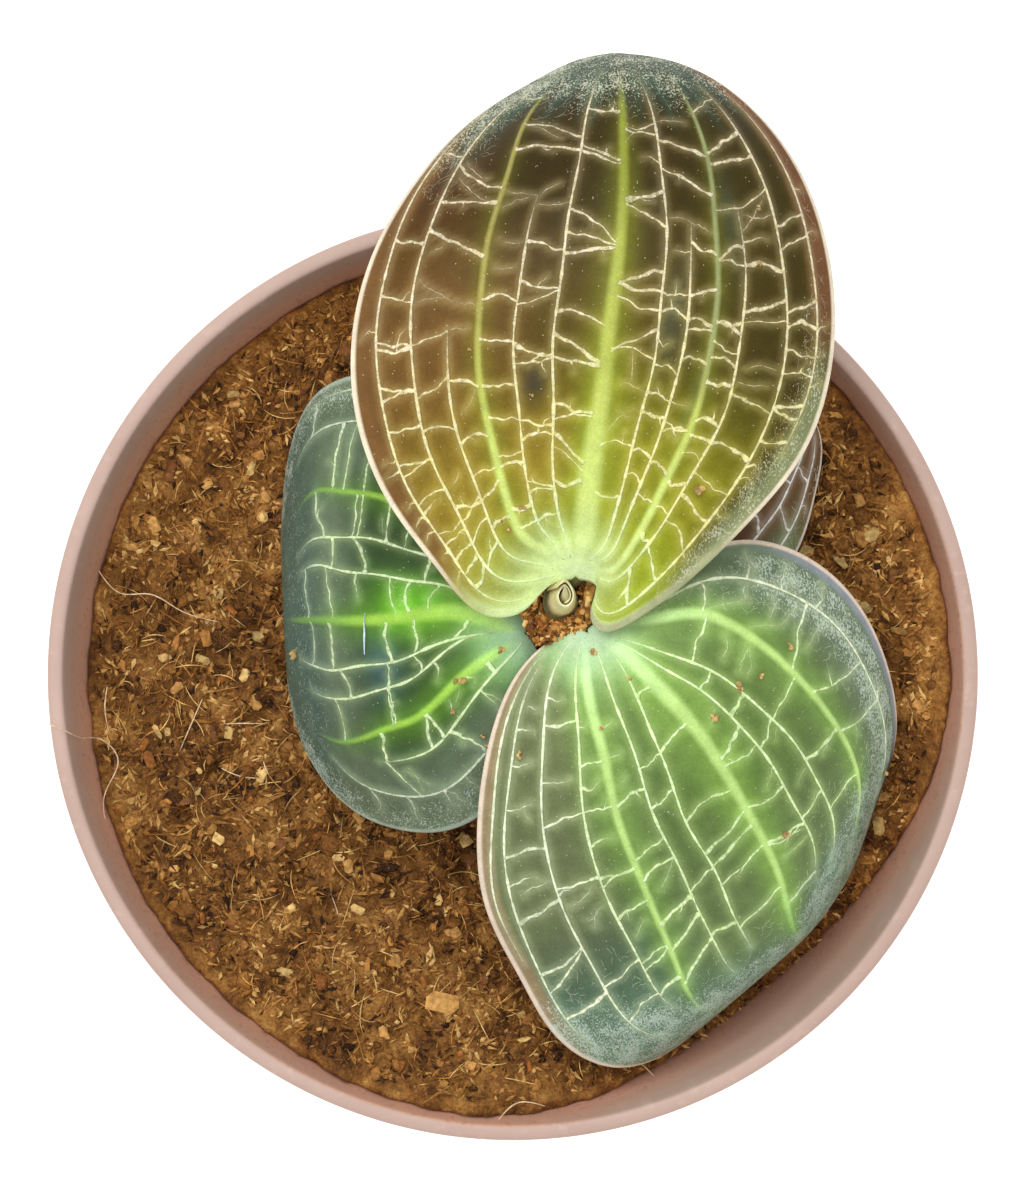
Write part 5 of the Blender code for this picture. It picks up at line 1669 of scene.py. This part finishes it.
def soil_litter(finish):
    """What lies loose on the soil: fine shreds of coir and rough crumbs."""
    draw = np.random.default_rng(12)
    places = soil_places(SHREDS, draw)
    length = np.exp(draw.normal(*SHRED_LOG_LENGTH, SHREDS))
    width = draw.uniform(*SHRED_WIDTH, SHREDS)
    places[:, 2] += draw.uniform(*SHRED_LIFT, SHREDS)
    sizes = np.stack([length, width, draw.uniform(*SHRED_THICKNESS, SHREDS)], -1)
    turns = lying(SHREDS, draw, SHRED_TILT)
    tones = soil_tones(places, draw, 1.25)
    points, triangles, tones = scattered(places, sizes, octahedron(), draw, 0.3, tones, turns)
    mesh_object("soil_shreds", points, triangles, finish, **SOIL, tone=tones, flat=True)
    places = soil_places(CRUMBS, draw, 1.0, 0.5)
    sizes = np.exp(draw.normal(*CRUMB_LOG_SIZE, (CRUMBS, 1))) * draw.uniform(*CRUMB_STRETCH, (CRUMBS, 3))
    places[:, 2] += 0.2
    tones = soil_tones(places, draw, 1.1)
    points, triangles, tones = scattered(places, sizes, icosahedron(), draw, 0.32, tones)
    mesh_object("soil_crumbs", points, triangles, finish, **SOIL, tone=tones, flat=True)


def chip_litter(finish):
    """Thin husk flakes and chips of bark lying flat on the soil, a few of them large ones."""
    draw = np.random.default_rng(13)
    places = soil_places(CHIPS, draw, 2.0)
    length = draw.uniform(*CHIP_LENGTH, CHIPS)
    places[: len(LARGE_CHIPS), :2] = LARGE_CHIPS[:, :2]
    places[:, 2] = soil_top(places[:, 0], places[:, 1])
    length[: len(LARGE_CHIPS)] = LARGE_CHIPS[:, 2]
    width, thickness = draw.uniform(*CHIP_WIDTH, CHIPS), draw.uniform(*CHIP_THICKNESS, CHIPS)
    sizes = length[:, None] * np.stack([np.ones(CHIPS), width, thickness], -1)
    places[:, 2] += sizes[:, 2] * 0.3 + CHIP_LIFT
    points, triangles = icosahedron()
    corners = len(points)
    angular = np.sign(points) * np.abs(points) ** 0.55
    body = angular * sizes[:, None, :] / 2 * (1 + 0.22 * draw.uniform(-1, 1, (CHIPS, corners, 1)))
    points, triangles = placed(body, triangles, lying(CHIPS, draw, CHIP_TILT), places)
    tones = CHIP_TONES[draw.integers(0, len(CHIP_TONES), CHIPS)] * draw.uniform(0.7, 1.15, (CHIPS, 1))
    tones = np.repeat(tones, corners, axis=0)
    return mesh_object("bark_chips", points, triangles, finish, **SOIL, tone=tones, flat=True)


LONG_FIBRES = (
    ((-54.7, -5.7, 98.9), (-53.0, -6.4, 98.8), (-51.1, -7.6, 94.5), (-49.1, -8.2, 90.5),
     (-47.7, -10.1, 89.8), (-49.0, -14.4, 91.5), (-49.0, -17.6, 91.0), (-47.6, -21.0, 90.5)),
    ((-49.8, 12.4, 91.2), (-47.0, 9.6, 90.2), (-44.0, 9.6, 89.6), (-40.6, 7.8, 88.8), (-35.7, 6.2, 87.6)),
    ((-35.4, -11.6, 87.2), (-33.1, -12.5, 88.0), (-30.0, -12.8, 86.8)),
    ((-30.4, -10.2, 87.4), (-30.0, -11.6, 87.6), (-29.1, -13.2, 86.8)),
    ((-35.2, -6.2, 87.2), (-32.7, -6.1, 88.0), (-30.2, -6.2, 86.8)),
    ((-37.7, -3.2, 87.8), (-38.8, -5.8, 88.4), (-40.5, -9.6, 87.6)),
    ((-48.9, -1.6, 90.2), (-49.1, -3.8, 90.8), (-48.8, -7.0, 89.6)),
    ((-1.7, -52.6, 97.5), (0.9, -50.2, 99.2), (3.8, -50.8, 98.4)),
    ((15.2, -47.1, 87.4), (16.9, -48.6, 88.4), (17.8, -49.6, 89.4)),
    ((-22.5, -26.0, 86.8), (-21.0, -31.0, 87.4), (-22.0, -36.0, 87.2)),
)


def fibre_litter(finish):
    """Fine coir fibres that lie and arch on the soil, and the few long ones that reach the rim."""
    draw = np.random.default_rng(14)
    parts, tones = [], []
    steps = np.linspace(0, 1, 7)
    for place in soil_places(FIBRES, draw, 3.0):
        length = draw.uniform(*FIBRE_LENGTH)
        heading = draw.uniform(0, 2 * math.pi)
        angles = heading + draw.uniform(-0.9, 0.9) * steps * FIBRE_BEND
        x = place[0] + np.cumsum(np.cos(angles)) * length / len(steps)
        y = place[1] + np.cumsum(np.sin(angles)) * length / len(steps)
        inside = np.hypot(x, y) < pot_inner_radius(88.0) - 1.0
        if not inside.all():
            continue
        z = soil_top(x, y) + FIBRE_LIFT + draw.uniform(*FIBRE_ARCH) * np.sin(math.pi * steps)
        parts.append(tube(np.stack([x, y, z], -1), np.interp(steps, (0, 0.5, 1), FIBRE_RADII), 4))
        tone = CHIP_TONES[draw.integers(0, 5)] * draw.uniform(0.7, 1.5)
        tones.append(all_over(parts[-1], tone))
    steps = np.linspace(0, 1, 40)
    for route in LONG_FIBRES:
        radii = np.interp(steps, (0, 0.5, 1), LONG_FIBRE_RADII)
        parts.append(tube(curve_through(route, steps), radii, 5))
        tones.append(all_over(parts[-1], srgb(232, 200, 160)))
    points, triangles = merged(parts)
    return mesh_object("soil_fibres", points, triangles, finish, **SOIL, tone=np.vstack(tones))


def root_path(k):
    """Root k leaves the foot of the stem and bends down and out."""
    angle = 2 * math.pi * (k + 0.3) / ROOTS
    part = np.linspace(0, 1, 24)
    reach = 0.6 + ROOT_REACH * part**0.8
    x, y = AXIS[0] + reach * math.cos(angle), AXIS[1] + reach * math.sin(angle)
    return np.stack([x, y, STEM_FOOT + 4.0 - ROOT_DEPTH * part**1.3], -1)


def stem_piece(finish):
    """The upright stem with its rings, and its fleshy roots."""
    heights = np.linspace(STEM_FOOT, STEM_TOP, 90)
    rings = np.exp(-(((heights - SHEATH_START + 0.6) / 0.35) ** 2)) * SHEATH_SWELL
    for level in range(4):
        above = heights - SHEATH_START - level * SHEATH_STEP - SHEATH_LENGTH - 0.2
        rings = rings + NODE_SWELL * np.exp(-((above / 0.3) ** 2))
    ends = np.minimum(1.0, 0.75 + np.minimum(heights - STEM_FOOT, STEM_TOP - heights))
    profile = np.stack([STEM_RADIUS * (0.97 + rings) * ends, heights], -1)
    parts = [loft(turned(profile, 32, AXIS))]
    for k in range(ROOTS):
        path = root_path(k)
        widths = ROOT_RADIUS * np.interp(np.linspace(0, 1, len(path)), (0, 0.9, 1), (1.0, 0.6, 0.25))
        parts.append(tube(path, widths, 12))
    points, triangles = merged(parts)
    return mesh_object("stem_and_roots", points, triangles, finish, slot="fleshy_stem", node="stem")


def roll_section(stop):
    """The rolled band's section at a stop along it: up its outer side and down its inner one."""
    turn = ROLL_TURNS * stop
    angle = math.radians(ROLL_START) - 2 * math.pi * turn
    ahead, aside = math.cos(angle), math.sin(angle)
    flap = 1.1 * math.exp(-(((stop - 0.06) / 0.08) ** 2)) + 0.5 * aside - 0.35 * ahead
    flap -= 0.7 * turn / ROLL_TURNS
    foot_centre, top_centre = AXIS + ROLL_FOOT_SHIFT, AXIS + ROLL_TOP_SHIFT
    outer_side, inner_side = [], []
    for level in ROLL_LEVELS:
        centre = foot_centre + (top_centre - foot_centre) * level**0.8
        point = level * max(0.0, aside)
        squeeze, stretch = 1 - 0.2 * level - 0.3 * point**2, 1 + 0.1 * level + 0.22 * point
        direction = np.array((ahead * squeeze, aside * stretch))
        outer = ROLL_FOOT * (1 - level) + ROLL_TOP * level - ROLL_PITCH * turn * (0.9 + 0.1 * level)
        thin = ROLL_WALL * (1.3 - 0.5 * level) * min(1.0, 0.3 + 14 * min(stop, 1 - stop))
        rounded = 0.05 if level == 1 else 0.0
        height = STEM_TOP + GAP + (ROLL_HEIGHT + flap) * level - rounded * 0.3
        outer_side.append((*(centre + direction * (outer - rounded)), height))
        inner_side.append((*(centre + direction * (outer - thin + rounded)), height))
    return outer_side + inner_side[::-1]


def new_leaf_piece():
    """The rolled new leaf: a band wound in a leaning cone, open and pointed at its top, with its core."""
    sections = np.array([roll_section(stop) for stop in np.linspace(0, 1, 200)])
    wound = loft(sections)
    # Painted light and shade: the band is brightened all over against the shade of the pit round it, its
    # outside darkens towards the foot, its inside is darker still, and its top edge is paler as a painted
    # highlight.
    outside = [srgb(236, 226, 164) * (0.92 + 0.08 * level) for level in ROLL_LEVELS]
    inside = [srgb(222, 212, 148)] * len(ROLL_LEVELS)
    outside[-1] = inside[-1] = srgb(244, 238, 196)
    tones = np.tile(np.array(outside + inside[::-1]), (len(sections), 1))
    middle = np.append(AXIS + ROLL_TOP_SHIFT, STEM_TOP + GAP + ROLL_HEIGHT)
    steps = np.linspace(0, 1, 24)
    radii = np.interp(steps, (0, 0.45, 0.7, 1), ROLL_CORE_RADII)
    core = tube(curve_through(middle + ROLL_CORE, steps), radii, 14)
    points, triangles = merged([wound, core])
    tones = np.vstack([tones, tones[0], tones[-1], all_over(core, srgb(212, 206, 158))])
    # A little painted sparkle all over.
    values = {"tone": tones, "sparkle": np.full(len(points), 0.2), "line": np.zeros(len(points))}
    finish = leaf_finish("rolled_blade", 0.5, srgb(236, 232, 208))
    slots = {"slot": "rolled_blade", "node": "new_leaf"}
    return mesh_object("new_leaf_roll", points, triangles, finish, **slots, **values)


def bark_flake_piece(finish):
    """The orange-brown flake of bark that stands between the new leaf and the right lobe."""
    count, around = 60, 30
    route = curve_through(FLAKE_PATH, np.linspace(0, 1, count))
    ahead = unit(np.gradient(route, axis=0))
    side = unit(np.cross(ahead, UP))
    turn = full_turn(around)
    sections = []
    for part, centre, aside in zip(np.linspace(0, 1, count), route, side):
        full = math.sin(math.pi * (0.06 + 0.86 * part))
        wide, tall = (0.2 + 0.65 * part) * (0.35 + 0.65 * full), 0.35 + 0.6 * full
        out = wide * np.sign(np.cos(turn)) * np.abs(np.cos(turn)) ** 0.7
        up = tall * np.sign(np.sin(turn)) * np.abs(np.sin(turn)) ** 0.7
        ring = centre + (*AXIS, 0.0) + out[:, None] * aside
        sections.append(ring + up[:, None] * UP)
    points, triangles = loft(np.array(sections))
    rough = 0.16 * noise(points * 1.6, 21) + 0.1 * noise(points * 4.5, 22)
    points = points + unit(points - points.mean(0)) * rough[:, None]
    # Painted light: the flake's orange is brightened against the shade of the pit it stands in, with
    # darker brown patches and pale painted glints laid by noise.
    tones = layered(
        rough,
        (214, 160, 78),
        ((150, 100, 42), smooth(-0.1, 0.4, noise(points * 1.3, 23))),
        ((240, 206, 140), smooth(0.25, 0.5, noise(points * 3.5, 24))),
    )
    slots = {"slot": "bark", "node": "bark_flake"}
    return mesh_object("bark_flake_rough", points, triangles, finish, **slots, tone=tones)


def axil_bed():
    """The rough bed that the crumbs lie on: a broken ring round the new leaf."""
    sections = []
    turn = full_turn(20)
    for part in np.linspace(0, 1, 60):
        angle = math.radians(5 + 350 * part)
        full = math.sin(math.pi * (0.1 + 0.8 * part))
        swell = 0.95 if 0.4 < part < 0.75 else 0.95 * smooth(0.1, 0.4, part) * smooth(1.0, 0.75, part)
        wide = 0.45 + swell * full
        radius = AXIL_INNER + wide + (wide - 0.05) * np.cos(turn)
        height = AXIL_BED + (0.45 + 0.45 * full) * np.sin(turn)
        x, y = AXIS[0] + math.cos(angle) * radius, AXIS[1] + math.sin(angle) * radius
        sections.append(np.stack([x, y, height], -1))
    points, triangles = loft(np.array(sections))
    rough = 0.22 * noise(points * 1.3, 31) + 0.12 * noise(points * 3.1, 32)
    return points + unit(points - points.mean(0)) * rough[:, None], triangles


def axil_crumbs_piece(finish):
    """The crumbs of bark and coir caught between the new leaf and the stalks, on a rough bed."""
    draw = np.random.default_rng(15)
    bed = axil_bed()
    # Painted light: the bed is brightened against the shade of the pit between the stalks.
    bed_tones = soil_tones(bed[0], draw, 0.4) * 1.2
    degrees = draw.uniform(0, 360, AXIL_CRUMBS)
    furthest = np.interp(degrees, list(AXIL_REACH), list(AXIL_REACH.values()))
    reach = AXIL_INNER + (furthest - AXIL_INNER) * np.sqrt(draw.random(AXIL_CRUMBS))
    angle = np.radians(degrees)
    x, y = AXIS[0] + reach * np.cos(angle), AXIS[1] + reach * np.sin(angle)
    places = np.stack([x, y, draw.uniform(*AXIL_HEIGHTS, AXIL_CRUMBS)], -1)
    sizes = np.exp(draw.normal(-0.75, 0.35, (AXIL_CRUMBS, 1)))
    sizes = sizes * draw.uniform(*CRUMB_STRETCH, (AXIL_CRUMBS, 3)) * (1.6, 0.9, 0.8)
    is_chip = draw.random((AXIL_CRUMBS, 1)) < 0.25
    # Painted light: the crumbs are brightened against the shade of the pit between the stalks.
    chip_tones = CHIP_TONES[draw.integers(0, 5, AXIL_CRUMBS)] * 1.3
    mixed = np.where(is_chip, chip_tones, soil_tones(places, draw, 1.3) * 1.3)
    mixed = np.minimum(mixed, 0.9)
    points, triangles, tones = scattered(places, sizes, icosahedron(), draw, 0.35, mixed)
    points, triangles = merged([bed, (points, triangles)])
    tones = np.vstack([bed_tones, tones])
    return mesh_object("axil_crumbs_loose", points, triangles, finish, **BARK, tone=tones, flat=True)


def speck_piece(finish):
    """Specks of bark that lie on the blades, and one pale hair on the left blade."""
    draw = np.random.default_rng(16)
    parts, tones = [], []
    for leaf in (LEAF_TOP, LEAF_FRONT, LEAF_LEFT):
        s, t, size = np.array(leaf["specks"]).T
        point, normal, _, _ = blade_face(leaf, s, t)
        for centre, up, width in zip(point, normal, size):
            shift = draw.uniform(-0.4, 0.4, (SPECK_BITS, 3)) * width * (1 - np.abs(up))
            places = centre + up * width * 0.22 + shift
            sizes = width * draw.uniform(0.4, 0.8, (SPECK_BITS, 3))
            tone = srgb(216, 180, 118) * draw.uniform(0.5, 1.15, (SPECK_BITS, 1))
            points, triangles, tone = scattered(places, sizes, icosahedron(), draw, 0.3, tone)
            parts.append((points, triangles))
            tones.append(tone)
    steps = np.linspace(0, 1, 30)
    point, normal, _, _ = blade_face(LEAF_LEFT, 0.462 + 0.014 * steps, 0.03 - 0.17 * steps)
    path = point + normal * (0.2 + 0.5 * np.sin(math.pi * steps))[:, None]
    path[:, 0] += 0.25 * np.sin(math.pi * steps)
    hair = tube(path, np.interp(steps, (0, 0.5, 1), (0.05, 0.12, 0.05)), 6)
    parts.append(hair)
    tones.append(all_over(hair, srgb(206, 220, 236)))
    points, triangles = merged(parts)
    tones = np.vstack(tones)
    return mesh_object("leaf_specks", points, triangles, finish, **BARK, tone=tones, flat=True)


def camera_and_lights():
    """A camera straight above, a large soft lamp to the upper left, a pale sky and a pale floor."""
    camera = bpy.data.objects.new("camera", bpy.data.cameras.new("camera"))
    camera.data.lens = CAMERA_LENS
    camera.data.sensor_width = SENSOR
    camera.location = Vector(CAMERA_PLACE) * MM
    bpy.context.scene.collection.objects.link(camera)
    bpy.context.scene.camera = camera
    lamp = bpy.data.lights.new("soft_lamp", "AREA")
    lamp.shape = "SQUARE"
    lamp.size = LIGHT_SIZE * MM
    lamp.energy = LIGHT_POWER
    holder = bpy.data.objects.new("soft_lamp", lamp)
    holder.location = Vector(LIGHT_PLACE) * MM
    aim = Vector((0.0, 0.0, POT_HEIGHT)) - Vector(LIGHT_PLACE)
    holder.rotation_euler = aim.to_track_quat("-Z", "Y").to_euler()
    bpy.context.scene.collection.objects.link(holder)
    world = bpy.data.worlds.new("sky")
    world.use_nodes = True
    sky = world.node_tree.nodes["Background"].inputs
    sky["Color"].default_value = (1.0, 1.0, 1.0, 1.0)
    sky["Strength"].default_value = SKY_STRENGTH
    bpy.context.scene.world = world
    bpy.context.scene.view_settings.view_transform = "Standard"
    half = FLOOR_SIZE / 2
    mesh = bpy.data.meshes.new("floor")
    corners = [(-half, -half, 0.0), (half, -half, 0.0), (half, half, 0.0), (-half, half, 0.0)]
    mesh.from_pydata([tuple(value * MM for value in corner) for corner in corners], [], [(0, 1, 2, 3)])
    floor = bpy.data.objects.new("floor", mesh)
    bpy.context.scene.collection.objects.link(floor)
    made = Finish("pale_floor", Roughness=0.9, Specular_IOR_Level=0.1, Emission_Strength=FLOOR_GLOW)
    made.shader.inputs["Emission Color"].default_value = (1.0, 1.0, 1.0, 1.0)
    mesh.materials.append(made.done(Base_Color=made.mix(made.mottle(14, 2), grey(0.93), grey(0.96))))


def main():
    camera_and_lights()
    litter = litter_finish("coir")
    chips = litter_finish("bark_chip", 1500.0, 0.1, 0.8)
    pot_piece()
    soil_body(litter)
    soil_litter(litter)
    chip_litter(chips)
    fibre_litter(chips)
    flesh = flesh_finish("fleshy_stalk", srgb(150, 158, 96), srgb(112, 92, 78))
    stem_piece(flesh)
    bronze = leaf_finish("bronze_blade", 0.42, srgb(226, 226, 196))
    green = leaf_finish("green_blade", 0.42, srgb(214, 230, 214))
    for name, leaf, paint, finish, slot, seed in (
        ("leaf_top", LEAF_TOP, paint_top, bronze, "bronze_blade", 1),
        ("leaf_front", LEAF_FRONT, paint_front, green, "green_blade", 2),
        ("leaf_left", LEAF_LEFT, paint_left, green, "green_blade", 3),
        ("leaf_back", LEAF_BACK, paint_back, green, "deep_green_blade", 4),
    ):
        net, sparkle = net_lines(leaf, seed)
        blade_piece(name, leaf, paint, finish, slot, net)
        net_piece(name, leaf, paint, finish, slot, net + sparkle)
        stalk_piece(name, leaf, flesh, slot)
    new_leaf_piece()
    bark_flake_piece(chips)
    axil_crumbs_piece(chips)
    speck_piece(chips)


main()
